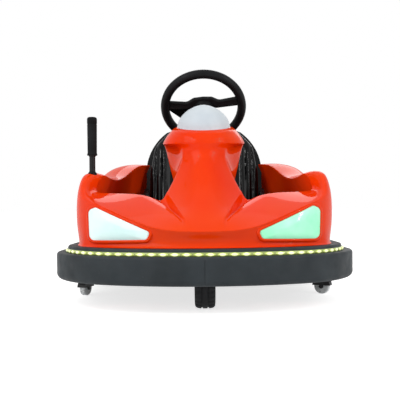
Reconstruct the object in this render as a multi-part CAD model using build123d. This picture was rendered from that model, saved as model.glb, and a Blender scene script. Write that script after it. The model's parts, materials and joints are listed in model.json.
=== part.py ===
from build123d import *

import os
from math import asin, cos, radians, sin, tan

os.makedirs("parts", exist_ok=True)

# Kart-style bumper car. Millimetres, +Z up, the front faces -Y, the driver's right is -X.
# The origin lies on the floor, under the middle of the car. "Setback" is the distance
# behind the foremost point of the bumper.

# ---- overall ----
CAR_LENGTH = 1430.0
CAR_WIDTH = 1084.0
BEYOND = 2000.0  # longer than anything that a cutting block has to pass

# ---- rubber bumper, its lip and its row of lamps ----
BUMPER_BOTTOM = 95.0
BUMPER_TOP = 190.0
BUMPER_THICKNESS = 75.0
BUMPER_SIDE_SWELL = 17.0  # how much thicker it is at the sides than in front
BUMPER_TOP_EDGE_RADIUS = 10.0
BUMPER_BOTTOM_EDGE_RADIUS = 20.0
BUMPER_FRONT_RADIUS = 850.0
BUMPER_CORNER_RADIUS = 360.0
BUMPER_REAR_RADIUS = 1100.0
BUMPER_REAR_CORNER_RADIUS = 320.0
LIP_OUTER_INSET = 25.0
LIP_TOP = 213.0
LED_BAND_THICKNESS = 5.0
LED_BAND_HEIGHT = 13.0
LED_PITCH = 38.0
LED_LENGTH = 13.0
LED_PROUD = 3.0

# ---- steel frame ----
BAND_THICKNESS = 5.0
BAND_BOTTOM = 100.0
RAIL_BOTTOM = BUMPER_BOTTOM
RAIL_HEIGHT = 30.0
RAIL_WIDTH = 30.0
RAIL_HALF_SPACING = 180.0
FLOOR_THICKNESS = 4.0
FLOOR_FRONT = 334.0
OUTRIGGER_THICKNESS = 5.0
OUTRIGGER_LENGTH = 84.0
FLOOR_BOTTOM = RAIL_BOTTOM + RAIL_HEIGHT
FLOOR_TOP = FLOOR_BOTTOM + FLOOR_THICKNESS

# ---- glass-fibre body ----
BODY_FRONT_INSET = 65.0
BODY_HALF_WIDTH = 474.0
BODY_FRONT_RADIUS = 800.0
BODY_CORNER_RADIUS = 300.0
BODY_REAR_RADIUS = 1000.0
BODY_REAR_CORNER_RADIUS = 260.0
BODY_SKIN = 12.0
COWL_EDGE_SETBACK = 333.0
SPLIT_FRONT = 347.0
TAIL_LENGTH = 322.0
COCKPIT_REAR = CAR_LENGTH - TAIL_LENGTH
REAR_SHELL_ARM = 178.0  # how far the rear shell reaches forward beside the seat
SPLIT_REAR = COCKPIT_REAR - REAR_SHELL_ARM
DECK_SKIN = 14.0
SILL_CLEARANCE = 0.5
WAIST_SHARE = 0.33  # how far back along the cockpit the pods are lowest
WAIST_HEIGHT = 457.0
HIP_HEIGHT = 545.0

# ---- driven front wheel and its fork ----
DRIVE_SETBACK = 200.0
TYRE_RADIUS = 100.0
TYRE_WIDTH = 68.0
TYRE_FLANK_DRAFT = 6.0
TYRE_SHOULDER_RADIUS = 12.0
HUB_RADIUS = 66.0
AXLE_RADIUS = 10.0
RUNNING_CLEARANCE = 0.05
FORK_GAP = 6.0
FORK_PLATE = 8.0
FORK_DEPTH = 44.0
CROWN_GAP = 9.0
CROWN_THICKNESS = 12.0
KINGPIN_RADIUS = 14.0
KINGPIN_HOUSING_RADIUS = 28.0
HOUSING_GAP = 0.4
BRIDGE_THICKNESS = 8.0
HOUSING_TOP = 300.0
KINGPIN_PROUD = 12.0
AXLE_PROUD = 4.0

# ---- castors ----
CASTOR_WHEEL_RADIUS = 30.0
CASTOR_WHEEL_WIDTH = 24.0
CASTOR_TREAD_RADIUS = 5.0
CASTOR_TRAIL = 18.0
CASTOR_CHEEK_GAP = 2.0
CASTOR_CHEEK = 3.5
CASTOR_HOOD_GAP = 3.0
CASTOR_HOOD = 3.0
CASTOR_SKIRT = 4.0
CASTOR_CROWN_RISE = 16.0
CASTOR_AXLE_RADIUS = 4.0
CASTOR_TAB_RADIUS = 9.0
CASTOR_PIN_RADIUS = 6.0
CASTOR_PIN_SHORT = 1.0
CASTOR_PLATE_X = 72.0
CASTOR_PLATE_Y = 62.0
CASTOR_PLATE_THICKNESS = 5.0
CASTOR_BOSS_RADIUS = 16.0
CASTOR_BOSS_HEIGHT = 8.0
CASTOR_CROWN_RADIUS = 21.0
CASTOR_HEAD_GAP = 0.3
CASTOR_BOLT_RADIUS = 3.3
CASTOR_BOLT_X = 54.0
CASTOR_BOLT_Y = 44.0
FRONT_CASTOR_X = 480.0
FRONT_CASTOR_SETBACK = 545.0
REAR_CASTOR_X = 330.0
REAR_CASTOR_SETBACK = CAR_LENGTH - 240.0
# name, side (+1 is the car's left), distance from the centreline, setback, way it trails in degrees
CASTORS = [
    ("front_left", 1, FRONT_CASTOR_X, FRONT_CASTOR_SETBACK, 155.0),
    ("front_right", -1, FRONT_CASTOR_X, FRONT_CASTOR_SETBACK, 70.0),
    ("rear_left", 1, REAR_CASTOR_X, REAR_CASTOR_SETBACK, 60.0),
    ("rear_right", -1, REAR_CASTOR_X, REAR_CASTOR_SETBACK, 100.0),
]

# ---- battery ----
BATTERY_HALF_WIDTH = 190.0
BATTERY_TOP = 300.0
BATTERY_FRONT = COCKPIT_REAR + 22.0
BATTERY_REAR = CAR_LENGTH - 140.0
BATTERY_BAY_HALF_WIDTH = 250.0
BATTERY_BAY_REAR = CAR_LENGTH - 110.0

# ---- steering ----
WHEEL_SETBACK = 670.0
WHEEL_HEIGHT = 757.0
COLUMN_ANGLE = 42.0  # above the horizontal
RIM_RADIUS = 158.0
RIM_TUBE_RADIUS = 18.0
SPOKE_ROOT_WIDTH = 58.0
SPOKE_TIP_WIDTH = 28.0
SPOKE_THICKNESS = 13.0
WHEEL_HUB_RADIUS = 46.0
WHEEL_HUB_THICKNESS = 36.0
WHEEL_HUB_ROUND = 12.0
WHEEL_TURN = 3.0
SHAFT_RADIUS = 10.0
COLUMN_TUBE_RADIUS = 18.0
COLUMN_TUBE_NEAR = 128.0  # along the column, from the steering wheel's middle
COLUMN_TUBE_FAR = 400.0
SHAFT_FAR = 480.0
POST_SETBACK = 440.0
POST_WIDTH = 30.0

# ---- roof lamp on the head of the nose ----
DOME_SETBACK = 420.0
DOME_SEAT_HEIGHT = 651.0
DOME_TILT = 15.5
DOME_RADIUS = 98.0
DOME_FOOT_HEIGHT = 5.0
DOME_SHOULDER_RADIUS = 80.0
DOME_SHOULDER_HEIGHT = 43.0
DOME_CROWN_RADIUS = 46.0
DOME_CROWN_HEIGHT = 70.0
DOME_HEIGHT = 79.0
DOME_FLAT_RADIUS = 8.0
DOME_CAP_DROP = 2.8

# ---- seat ----
SEAT_BACK_SETBACK = COCKPIT_REAR - 153.0
SEAT_BACK_FOOT = 262.0
SEAT_FOOT_WIDTH = 552.0
SEAT_WAIST_WIDTH = 540.0
SEAT_WAIST_RISE = 240.0
SEAT_SHOULDER_WIDTH = 480.0
SEAT_SHOULDER_RISE = 392.0
SEAT_ARCH_WIDTH = 352.0
SEAT_ARCH_RISE = 466.0
SEAT_BACK_RISE = 500.0
SEAT_LEAN = 14.0
SEAT_PAD_THICKNESS = 52.0
SEAT_SHELL_THICKNESS = 10.0
SEAT_GAP = 0.3
SEAT_PAD_MARGIN = 8.0
SEAT_PAN_TAIL = 10.0
SEAT_BASE_HALF_WIDTH = 252.0
SEAT_BASE_FRONT = 640.0
SEAT_BASE_TOP = 298.0
SEAT_BASE_BOTTOM = 234.0
SEAT_BASE_LIP = 4.0  # how far the pan and the wings stand ahead of the pad
SEAT_BASE_TOP_GAP = 6.0
SEAT_BASE_FOOT_GAP = 10.0
SEAT_BASE_DROP = 14.0
SEAT_FRONT_ROLL = 22.0
SEAT_REAR_ROLL = 10.0
WING_THICKNESS = 22.0
WING_TOP = 430.0
WING_FRONT_TOP = 280.0
WING_ELBOW_HEIGHT = 350.0
WING_ELBOW_SETBACK = SEAT_BACK_SETBACK - 165.0
WING_TIP_ROUND = 20.0
WING_ELBOW_ROUND = 80.0
WING_REAR_GAP = 2.0
SEAT_TUBE = 25.0
SEAT_FRAME_HALF_SPACING = 175.0
SEAT_FRAME_FRONT = SEAT_BASE_FRONT + 40.0
SEAT_FRAME_REAR = SEAT_BACK_SETBACK - 15.0
SEAT_LEG_INSET = 30.0

# ---- foot pedal, on the driver's right ----
PEDAL_X = -230.0
PEDAL_WIDTH = 70.0
PEDAL_HEEL_SETBACK = 440.0
PEDAL_TREAD_TOP = 218.0
# distance ahead of the heel, height above the floor
PEDAL_SIDE = [
    (48.0, 0.0),
    (48.0, 14.0),
    (74.0, PEDAL_TREAD_TOP - FLOOR_TOP - 4.0),
    (68.0, PEDAL_TREAD_TOP - FLOOR_TOP),
    (20.0, 18.0),
    (0.0, 8.0),
    (0.0, 0.0),
]

# ---- hand lever, on the driver's right ----
LEVER_X = -410.0
LEVER_SETBACK = 362.0
LEVER_PIVOT_HEIGHT = 461.0
LEVER_EYE_RADIUS = 9.0
LEVER_EYE_WIDTH = 14.0
LEVER_PIN_RADIUS = 4.0
LEVER_ROD_RADIUS = 11.0
LEVER_ROD_TOP = 672.0
GRIP_RADIUS = 18.0
GRIP_BOTTOM = 539.0
GRIP_TOP = 680.0
GRIP_ROUND = 6.0
LEVER_POCKET_X = 34.0
LEVER_POCKET_LENGTH = 70.0
LEVER_EAR = 4.0
LEVER_PLATE = 4.0
LEVER_BRACKET_LENGTH = 60.0
LEVER_SIDE_PLAY = 0.5
LEVER_NECK_RADIUS = 6.5
LEVER_NECK_LENGTH = 24.0
LEVER_NECK_LAP = 6.0


def y_at(setback):
    return setback - CAR_LENGTH / 2


def plan_outline(half_width, front, rear, front_r, corner_r, rear_r, rear_corner_r):
    """A closed face in plan: bowed front and rear, round corners and straight sides."""

    def end_arcs(end, sign, bow_r, round_r):
        centre_x = half_width - round_r
        turn = asin(centre_x / (bow_r - round_r))
        centre_y = y_at(end) + sign * (bow_r - (bow_r - round_r) * cos(turn))
        middle = (turn + radians(90)) / 2

        def bow(angle):
            return (bow_r * sin(angle), y_at(end) + sign * bow_r * (1 - cos(angle)))

        def corner(angle, side):
            return (
                side * (centre_x + round_r * sin(angle)),
                centre_y - sign * round_r * cos(angle),
            )

        arcs = [ThreePointArc(bow(-turn), bow(0), bow(turn))]
        for side in (-1, 1):
            arcs.append(
                ThreePointArc(
                    corner(turn, side), corner(middle, side), (side * half_width, centre_y)
                )
            )
        return arcs, centre_y

    front_arcs, front_y = end_arcs(front, 1, front_r, corner_r)
    rear_arcs, rear_y = end_arcs(rear, -1, rear_r, rear_corner_r)
    sides = [Line((x, front_y), (x, rear_y)) for x in (-half_width, half_width)]
    return make_face(Wire.combine([*front_arcs, *rear_arcs, *sides])[0])


def bumper_plan(inset):
    """The bumper's outline, or one inside it that all the other rings share."""
    swell = BUMPER_SIDE_SWELL if inset else 0
    return plan_outline(
        CAR_WIDTH / 2 - swell - inset,
        inset,
        CAR_LENGTH - inset,
        BUMPER_FRONT_RADIUS - inset,
        BUMPER_CORNER_RADIUS - inset,
        BUMPER_REAR_RADIUS - inset,
        BUMPER_REAR_CORNER_RADIUS - inset,
    )


def body_plan(inset):
    return plan_outline(
        BODY_HALF_WIDTH - inset,
        BODY_FRONT_INSET + inset,
        CAR_LENGTH - BODY_FRONT_INSET - inset,
        BODY_FRONT_RADIUS - inset,
        BODY_CORNER_RADIUS - inset,
        BODY_REAR_RADIUS - inset,
        BODY_REAR_CORNER_RADIUS - inset,
    )


def upright(face, low, high):
    """Extrudes a plan face from one height to another."""
    return extrude(Pos(0, 0, low) * face, amount=high - low, dir=(0, 0, 1))


def side_face(points, radii=0):
    """A face in the middle plane, from (setback, height) corners and their radii."""
    path = FilletPolyline(*[(y_at(s), z) for s, z in points], radius=radii, close=True)
    return Plane.YZ * make_face(path)


def front_face(points, radii=0):
    """A face seen from the front, from (X, height) corners and their radii."""
    return Plane.XZ * make_face(FilletPolyline(*points, radius=radii, close=True))


def block(x0, x1, s0, s1, z0, z1):
    """A block between two X values, two setbacks and two heights."""
    return Pos((x0 + x1) / 2, y_at((s0 + s1) / 2), (z0 + z1) / 2) * Box(
        x1 - x0, s1 - s0, z1 - z0
    )


def post(x, setback, z0, z1, radius):
    """An upright cylinder."""
    return Pos(x, y_at(setback), (z0 + z1) / 2) * Cylinder(radius, z1 - z0)


def mirrored(shape):
    return mirror(shape, about=Plane.YZ)


def save(name, shape):
    solids = shape.solids()
    part = solids[0] if len(solids) == 1 else Compound(children=list(solids))
    export_step(part, f"parts/{name}.step")


# ---------------------------------------------------------------- bumper


def make_bumper():
    ring = upright(bumper_plan(0) - bumper_plan(BUMPER_THICKNESS), BUMPER_BOTTOM, BUMPER_TOP)
    outer = bumper_plan(0).edges()

    def outer_edges(height):
        level = [e for e in ring.edges() if abs(e.center().Z - height) < 0.01]
        lengths = [e.length for e in outer]
        return [e for e in level if any(abs(e.length - length) < 0.01 for length in lengths)]

    ring = fillet(outer_edges(BUMPER_TOP), BUMPER_TOP_EDGE_RADIUS)
    ring = fillet(outer_edges(BUMPER_BOTTOM), BUMPER_BOTTOM_EDGE_RADIUS)
    save("bumper_ring", ring)

    lip_plan = bumper_plan(LIP_OUTER_INSET) - bumper_plan(BUMPER_THICKNESS)
    save("bumper_lip", upright(lip_plan, BUMPER_TOP, LIP_TOP))

    outline = bumper_plan(LIP_OUTER_INSET - LED_BAND_THICKNESS)
    band_plan = outline - bumper_plan(LIP_OUTER_INSET)
    strip = upright(band_plan, BUMPER_TOP, BUMPER_TOP + LED_BAND_HEIGHT)
    path = outline.face().outer_wire()
    count = round(path.length / LED_PITCH)
    level = BUMPER_TOP + LED_BAND_HEIGHT / 2
    lamps = []
    for i in range(count):
        place = Pos(0, 0, level) * path.location_at(i / count)
        lamps.append(place * Box(2 * LED_PROUD, 2 * LED_PROUD, LED_LENGTH))
    save("led_strip", strip + lamps)


# ---------------------------------------------------------------- frame


def make_frame():
    band_plan = bumper_plan(BUMPER_THICKNESS) - bumper_plan(BUMPER_THICKNESS + BAND_THICKNESS)
    save("frame_band", upright(band_plan, BAND_BOTTOM, LIP_TOP))

    inside = upright(
        bumper_plan(BUMPER_THICKNESS + BAND_THICKNESS), RAIL_BOTTOM - OUTRIGGER_THICKNESS, LIP_TOP
    )
    top = RAIL_BOTTOM + RAIL_HEIGHT
    rails = Part()
    for side in (-1, 1):
        middle = side * RAIL_HALF_SPACING
        rails += block(
            middle - RAIL_WIDTH / 2, middle + RAIL_WIDTH / 2, 0, CAR_LENGTH, RAIL_BOTTOM, top
        )
    half_width = CAR_WIDTH / 2
    cross_setbacks = [FLOOR_FRONT + RAIL_WIDTH / 2, *sorted({row[3] for row in CASTORS})]
    for setback in cross_setbacks:
        rails += block(
            -half_width,
            half_width,
            setback - RAIL_WIDTH / 2,
            setback + RAIL_WIDTH / 2,
            RAIL_BOTTOM,
            top,
        )
    rails = rails & inside
    for _, side, across, setback, _ in CASTORS:
        near = side * RAIL_HALF_SPACING
        far = side * (across + CASTOR_PLATE_X / 2)
        rails += block(
            min(near, far),
            max(near, far),
            setback - OUTRIGGER_LENGTH / 2,
            setback + OUTRIGGER_LENGTH / 2,
            RAIL_BOTTOM - OUTRIGGER_THICKNESS,
            RAIL_BOTTOM,
        )
    for _, side, across, setback, _ in CASTORS:
        for dx in (-1, 1):
            for dy in (-1, 1):
                rails -= post(
                    side * across + dx * CASTOR_BOLT_X / 2,
                    setback + dy * CASTOR_BOLT_Y / 2,
                    0,
                    RAIL_BOTTOM,
                    CASTOR_BOLT_RADIUS,
                )
    save("frame_rails", rails)

    floor = upright(bumper_plan(BUMPER_THICKNESS + BAND_THICKNESS), FLOOR_BOTTOM, FLOOR_TOP)
    floor = floor & block(-half_width, half_width, FLOOR_FRONT, CAR_LENGTH, 0, LIP_TOP)
    save("floor_pan", floor)

    crown_top = 2 * TYRE_RADIUS + CROWN_GAP + CROWN_THICKNESS
    bridge_bottom = crown_top + FORK_GAP
    bridge_top = bridge_bottom + BRIDGE_THICKNESS
    near = DRIVE_SETBACK - RAIL_WIDTH / 2
    far = DRIVE_SETBACK + RAIL_WIDTH / 2
    outer = RAIL_HALF_SPACING + RAIL_WIDTH / 2
    bridge = block(-outer, outer, near, far, bridge_bottom, bridge_top)
    for side in (-1, 1):
        x0 = side * RAIL_HALF_SPACING - RAIL_WIDTH / 2
        bridge += block(x0, x0 + RAIL_WIDTH, near, far, top, bridge_bottom)
    bridge += post(0, DRIVE_SETBACK, crown_top + HOUSING_GAP, HOUSING_TOP, KINGPIN_HOUSING_RADIUS)
    bridge -= post(0, DRIVE_SETBACK, 0, BEYOND, KINGPIN_RADIUS + RUNNING_CLEARANCE)
    save("front_bridge", bridge)

    battery = block(
        -BATTERY_HALF_WIDTH,
        BATTERY_HALF_WIDTH,
        BATTERY_FRONT,
        BATTERY_REAR,
        FLOOR_TOP,
        BATTERY_TOP,
    )
    save("battery_pack", battery)


# ---------------------------------------------------------------- body


# X, height of the fascia's top crease there, height of the cockpit's front edge there
COWL_RIBS = [
    (0.0, 268.0, 362.0),
    (140.0, 270.0, 366.0),
    (185.0, 285.0, 378.0),
    (235.0, 303.0, 396.0),
    (372.0, 361.0, 398.0),
    (450.0, 372.0, 400.0),
]

# height; half-width and setback of the front's round; setback of its middle; half-width and
# setback of the face's edge; half-width of the side halfway back; rear corner's half-width and
# distance behind the column's post
NOSE_LEVELS = [
    (FLOOR_TOP, 56.0, 84.0, 78.0, 130.0, 333.0, 122.0, 112.0, 40.0),
    (268.0, 58.0, 74.0, 68.0, 135.0, 333.0, 124.0, 114.0, 50.0),
    (303.0, 62.0, 102.0, 99.0, 135.0, 333.0, 126.0, 116.0, 54.0),
    (328.0, 77.0, 149.0, 131.0, 137.0, 333.0, 125.0, 117.0, 58.0),
    (353.0, 98.0, 218.0, 155.0, 139.0, 333.0, 127.0, 118.0, 62.0),
    (380.0, 121.0, 285.0, 181.0, 141.0, 333.0, 126.0, 119.0, 66.0),
    (405.0, 74.0, 240.0, 200.0, 133.0, 333.0, 120.0, 120.0, 70.0),
    (436.0, 64.0, 254.0, 224.0, 116.0, 333.0, 112.0, 123.0, 78.0),
    (481.0, 52.0, 277.0, 254.0, 93.0, 333.0, 101.0, 127.0, 90.0),
    (522.0, 43.0, 293.0, 279.0, 76.0, 331.0, 95.0, 136.0, 101.0),
    (552.0, 41.0, 298.0, 290.0, 74.0, 326.0, 100.0, 145.0, 108.0),
    (580.0, 46.0, 289.0, 283.0, 90.0, 318.0, 150.0, 159.0, 115.0),
    (606.0, 50.0, 299.0, 294.0, 88.0, 324.0, 147.0, 154.0, 118.0),
    (640.0, 50.0, 309.0, 305.0, 84.0, 336.0, 130.0, 136.0, 119.0),
    (722.0, 46.0, 322.0, 318.0, 72.0, 352.0, 98.0, 88.0, 128.0),
]

# setback, then X and height of the inner border, the bottom and the outer border
SCOOP_RIBS = [
    (104.0, 63.0, 306.0, 69.0, 300.0, 75.0, 305.0),
    (218.0, 98.0, 353.0, 111.0, 340.0, 122.0, 344.0),
    (340.0, 143.0, 407.0, 155.0, 380.0, 169.0, 374.0),
]
SCOOP_HEADROOM = 60.0

# setback, height and rounding of the rim's corners, seen from the side
RIM_FRONT = 190.0
RIM_REAR = CAR_LENGTH - 55.0
RIM_FOOT = 150.0
FENDER_TOP = LEVER_PIVOT_HEIGHT + 10.0
RIM_SIDE = [
    (RIM_FRONT, RIM_FOOT, 0.0),
    (RIM_FRONT, 352.0, 10.0),
    (300.0, FENDER_TOP - 9.0, 50.0),
    (350.0, FENDER_TOP, 60.0),
    (SPLIT_FRONT + WAIST_SHARE * (COCKPIT_REAR - SPLIT_FRONT), WAIST_HEIGHT, 130.0),
    (COCKPIT_REAR - 318.0, 466.0, 110.0),
    (COCKPIT_REAR - 203.0, HIP_HEIGHT - 15.0, 110.0),
    (COCKPIT_REAR - 108.0, HIP_HEIGHT, 80.0),
    (COCKPIT_REAR - 8.0, HIP_HEIGHT - 3.0, 90.0),
    (CAR_LENGTH - 170.0, 465.0, 120.0),
    (RIM_REAR, 345.0, 0.0),
    (RIM_REAR, RIM_FOOT, 0.0),
]

# height, then how far the sides, the front and the rear stand in from the body's widest plan
BODY_LEVELS = [
    (LIP_TOP, 18.0, 12.0, 15.0),
    (258.0, 3.0, 6.0, 2.0),
    (322.0, 0.0, 0.0, 0.0),
    (372.0, 8.0, 0.0, 12.0),
    (406.0, 17.0, 4.0, 35.0),
    (444.0, 26.0, 10.0, 74.0),
    (480.0, 40.0, 20.0, 117.0),
    (512.0, 56.0, 36.0, 164.0),
    (536.0, 82.0, 60.0, 215.0),
    (556.0, 118.0, 90.0, 275.0),
]

COCKPIT_CUT_FRONT = 150.0
# height, then the cockpit's half-width at its front and at its rear
COCKPIT_LEVELS = [
    (FLOOR_TOP, 405.0, 318.0),
    (380.0, 402.0, 316.0),
    (575.0, 325.0, 258.0),
]


def body_walls(inset):
    """The body's bulging sides and sloping stern, as plans stacked from the lip up."""
    sections = []
    for level, side, front, rear in BODY_LEVELS:
        plan = plan_outline(
            BODY_HALF_WIDTH - side - inset,
            BODY_FRONT_INSET + front + inset,
            CAR_LENGTH - BODY_FRONT_INSET - rear - inset,
            BODY_FRONT_RADIUS - inset,
            BODY_CORNER_RADIUS - side - inset,
            BODY_REAR_RADIUS - rear - inset,
            BODY_REAR_CORNER_RADIUS - side - inset,
        )
        sections.append(Pos(0, 0, level - inset) * plan)
    return loft(sections, ruled=True)


def body_mass(inset):
    """The body's outer form without its cockpit, inset evenly for the inner skin."""
    walls = body_walls(inset)
    side = side_face(
        [(s + (inset if s < CAR_LENGTH / 2 else -inset), z - inset) for s, z, _ in RIM_SIDE],
        [r for _, _, r in RIM_SIDE],
    )
    return walls & extrude(side, amount=BEYOND, both=True)


def cowl(inset):
    """The slope from the fascia's crease up to the cockpit's front edge."""
    sections = []
    for x, crease, edge in COWL_RIBS:
        # where this rib crosses the fascia
        start = BODY_FRONT_INSET + BODY_FRONT_RADIUS * (1 - cos(asin(x / BODY_FRONT_RADIUS)))
        slope = (edge - crease) / (COWL_EDGE_SETBACK - start)
        low = crease - slope * start - inset
        section = side_face(
            [
                (0, LIP_TOP - inset),
                (0, low),
                (COWL_EDGE_SETBACK, edge - inset),
                (COWL_EDGE_SETBACK, LIP_TOP - inset),
            ]
        )
        sections.append(Pos(x, 0, 0) * section)
    half = loft(sections, ruled=True)
    walls = body_walls(inset)
    return (half + mirrored(half)) & walls


def nose(inset):
    """The bell-shaped pillar under the roof lamp, down to the floor between the feet."""
    sections = []
    for level, front_x, front_s, middle_s, edge_x, edge_s, side_x, rear_x, behind in NOSE_LEVELS:
        rear_s = POST_SETBACK + behind
        front = [(front_x - inset / 2, front_s + inset), (edge_x - inset, edge_s + inset / 4)]
        rear = (rear_x - inset, rear_s - inset)
        side = (side_x - inset, (edge_s + rear_s) / 2)

        def plan(point, sign):
            return (sign * point[0], y_at(point[1]))

        edges = [
            ThreePointArc(plan(front[0], -1), plan((0, middle_s + inset), 1), plan(front[0], 1)),
            Line(plan(rear, -1), plan(rear, 1)),
        ]
        for sign in (-1, 1):
            edges.append(Line(plan(front[0], sign), plan(front[1], sign)))
            edges.append(ThreePointArc(plan(front[1], sign), plan(side, sign), plan(rear, sign)))
        sections.append(Pos(0, 0, level) * make_face(Wire.combine(edges)[0]))
    pillar = loft(sections, ruled=True)
    lid = Pos(0, y_at(DOME_SETBACK), DOME_SEAT_HEIGHT) * Rot(DOME_TILT, 0, 0)
    return pillar - lid * Pos(0, 0, BEYOND / 4 - inset) * Box(BEYOND, BEYOND, BEYOND / 2)


def scoop():
    """The hollow between the nose's foot and the cowl, on the car's left."""
    sections = []
    for setback, inner_x, inner_z, bottom_x, bottom_z, outer_x, outer_z in SCOOP_RIBS:
        top = inner_z + SCOOP_HEADROOM
        rib = [(inner_x, inner_z), (bottom_x, bottom_z), (outer_x, outer_z), (outer_x, top)]
        face = make_face(Polyline(*rib, (inner_x, top), close=True))
        sections.append(Plane.XZ.offset(-y_at(setback)) * face)
    return loft(sections, ruled=True)


def cockpit():
    """The open space between the side pods, from the floor up."""
    sections = []
    for level, front_x, rear_x in COCKPIT_LEVELS:
        corners = [
            (front_x, COCKPIT_CUT_FRONT),
            (front_x, COWL_EDGE_SETBACK),
            (rear_x, COCKPIT_REAR),
        ]
        path = [*corners, *[(-x, s) for x, s in reversed(corners)]]
        face = make_face(Polyline(*[(x, y_at(s)) for x, s in path], close=True))
        sections.append(Pos(0, 0, level) * face)
    return loft(sections, ruled=True)


LAMP_OUTLINE = [
    (358.0, 347.0, 10.0),
    (398.0, 340.0, 14.0),
    (398.0, 256.0, 14.0),
    (382.0, 238.0, 20.0),
    (186.0, 243.0, 9.0),
    (176.0, 262.0, 9.0),
]
LAMP_PROUD = 2.0
LAMP_DEPTH = 16.0
LAMP_RIM_WIDTH = 11.0
LAMP_RIM_PROUD = 5.0


def lamp_prism(margin, proud):
    """The headlamp's outline with a margin, as a prism that is bent with the fascia."""
    outline = front_face([(x, z) for x, z, _ in LAMP_OUTLINE], [r for _, _, r in LAMP_OUTLINE])
    if margin:
        outline = offset(outline, margin)
    prism = extrude(outline, amount=BEYOND, both=True)
    shell = upright(body_plan(-proud) - body_plan(LAMP_DEPTH), BUMPER_TOP, BEYOND / 2)
    return prism & shell & block(0, BODY_HALF_WIDTH, 0, SPLIT_FRONT, 0, BEYOND)


def headlamp():
    """A rounded triangular lens. This one is on the car's left."""
    return lamp_prism(0, LAMP_PROUD)


def headlamp_rim():
    """The raised border that is moulded round the headlamp, with no pocket in it yet."""
    return lamp_prism(LAMP_RIM_WIDTH, LAMP_RIM_PROUD)


def headlamp_pocket():
    return lamp_prism(0, 2 * LAMP_RIM_PROUD)


TAIL_LAMP_X = 300.0
TAIL_LAMP_HEIGHT = 290.0
TAIL_LAMP_RADIUS = 32.0
TAIL_LAMP_DEPTH = 10.0


def tail_lamp():
    bar = Pos(TAIL_LAMP_X, y_at(CAR_LENGTH), TAIL_LAMP_HEIGHT) * Rot(90, 0, 0)
    prism = bar * Cylinder(TAIL_LAMP_RADIUS, CAR_LENGTH / 2)
    shell = upright(body_plan(-LAMP_PROUD) - body_plan(TAIL_LAMP_DEPTH), BUMPER_TOP, BEYOND / 2)
    return prism & shell


def lever_pocket():
    return block(
        LEVER_X - LEVER_POCKET_X / 2,
        LEVER_X + LEVER_POCKET_X / 2,
        LEVER_SETBACK - LEVER_POCKET_LENGTH / 2,
        LEVER_SETBACK + LEVER_POCKET_LENGTH / 2,
        LEVER_PIVOT_HEIGHT - LEVER_EYE_RADIUS - LEVER_PLATE - LEVER_PLATE,
        BEYOND,
    )


def make_body():
    # under the pods the tub's walls go on down to the floor, inside the frame's band
    sill_plan = bumper_plan(BUMPER_THICKNESS + BAND_THICKNESS + SILL_CLEARANCE)
    sill = upright(sill_plan, FLOOR_TOP, LIP_TOP) & block(
        -BEYOND, BEYOND, SPLIT_FRONT, COCKPIT_REAR + DECK_SKIN, 0, BEYOND
    )
    mass = body_mass(0) + sill - cockpit()
    front = block(-BEYOND, BEYOND, 0, SPLIT_FRONT, LIP_TOP, BEYOND)
    rear = block(-BEYOND, BEYOND, SPLIT_REAR, CAR_LENGTH, 0, BEYOND)
    middle = block(-BEYOND, BEYOND, SPLIT_FRONT, SPLIT_REAR, 0, BEYOND)
    clear_of_frame = block(-BEYOND, BEYOND, 0, COWL_EDGE_SETBACK, 0, LIP_TOP)

    lamp = headlamp()
    save("headlamp_left", lamp)
    save("headlamp_right", mirrored(lamp))
    pillar = nose(0) - clear_of_frame
    groove = scoop()
    rim = headlamp_rim()
    outer = cowl(0) + (mass & front) + pillar + rim + mirrored(rim) - groove - mirrored(groove)
    inner = cowl(BODY_SKIN) + nose(BODY_SKIN)
    column = Pos(0, y_at(WHEEL_SETBACK), WHEEL_HEIGHT) * Rot(COLUMN_ANGLE - 90, 0, 0)
    column_hole = column * Pos(0, 0, -COLUMN_TUBE_FAR / 2) * Cylinder(
        COLUMN_TUBE_RADIUS, COLUMN_TUBE_FAR
    )
    pocket = headlamp_pocket()
    front_body = outer - inner - column_hole - pocket - mirrored(pocket)
    save("front_body", front_body - lever_pocket())

    pods = mass & middle
    pods -= lever_pocket()
    left = pods & block(0, BEYOND, 0, CAR_LENGTH, 0, BEYOND)
    right = pods & block(-BEYOND, 0, 0, CAR_LENGTH, 0, BEYOND)
    save("pod_left", left)
    save("pod_right", right)

    tail = tail_lamp()
    save("tail_lamp_left", tail)
    save("tail_lamp_right", mirrored(tail))
    hollow = body_mass(DECK_SKIN) & block(
        -BEYOND, BEYOND, COCKPIT_REAR + DECK_SKIN, CAR_LENGTH, 0, BEYOND
    )
    hollow += block(
        -BATTERY_BAY_HALF_WIDTH,
        BATTERY_BAY_HALF_WIDTH,
        COCKPIT_REAR + DECK_SKIN,
        BATTERY_BAY_REAR,
        FLOOR_TOP,
        BATTERY_TOP,
    )
    rear_shell = (mass & rear) - hollow - tail - mirrored(tail)
    save("rear_shell", rear_shell)

    seat = Pos(0, y_at(DOME_SETBACK), DOME_SEAT_HEIGHT) * Rot(DOME_TILT, 0, 0)
    rim = (DOME_RADIUS, 0)
    foot = (DOME_RADIUS, DOME_FOOT_HEIGHT)
    shoulder = (DOME_SHOULDER_RADIUS, DOME_SHOULDER_HEIGHT)
    crown = (DOME_CROWN_RADIUS, DOME_CROWN_HEIGHT)
    # the cap between the crown and the flat is a shallow arc
    cap = ((DOME_CROWN_RADIUS + DOME_FLAT_RADIUS) / 2, DOME_HEIGHT - DOME_CAP_DROP)
    flat = (DOME_FLAT_RADIUS, DOME_HEIGHT)
    lines = [
        Line((0, 0), rim),
        Line(rim, foot),
        ThreePointArc(foot, shoulder, crown),
        ThreePointArc(crown, cap, flat),
        Line(flat, (0, DOME_HEIGHT)),
        Line((0, DOME_HEIGHT), (0, 0)),
    ]
    profile = make_face(Wire.combine(lines)[0])
    save("dome_lamp", seat * revolve(Plane.XZ * profile, Axis.Z))


# ---------------------------------------------------------------- seat and controls


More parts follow.
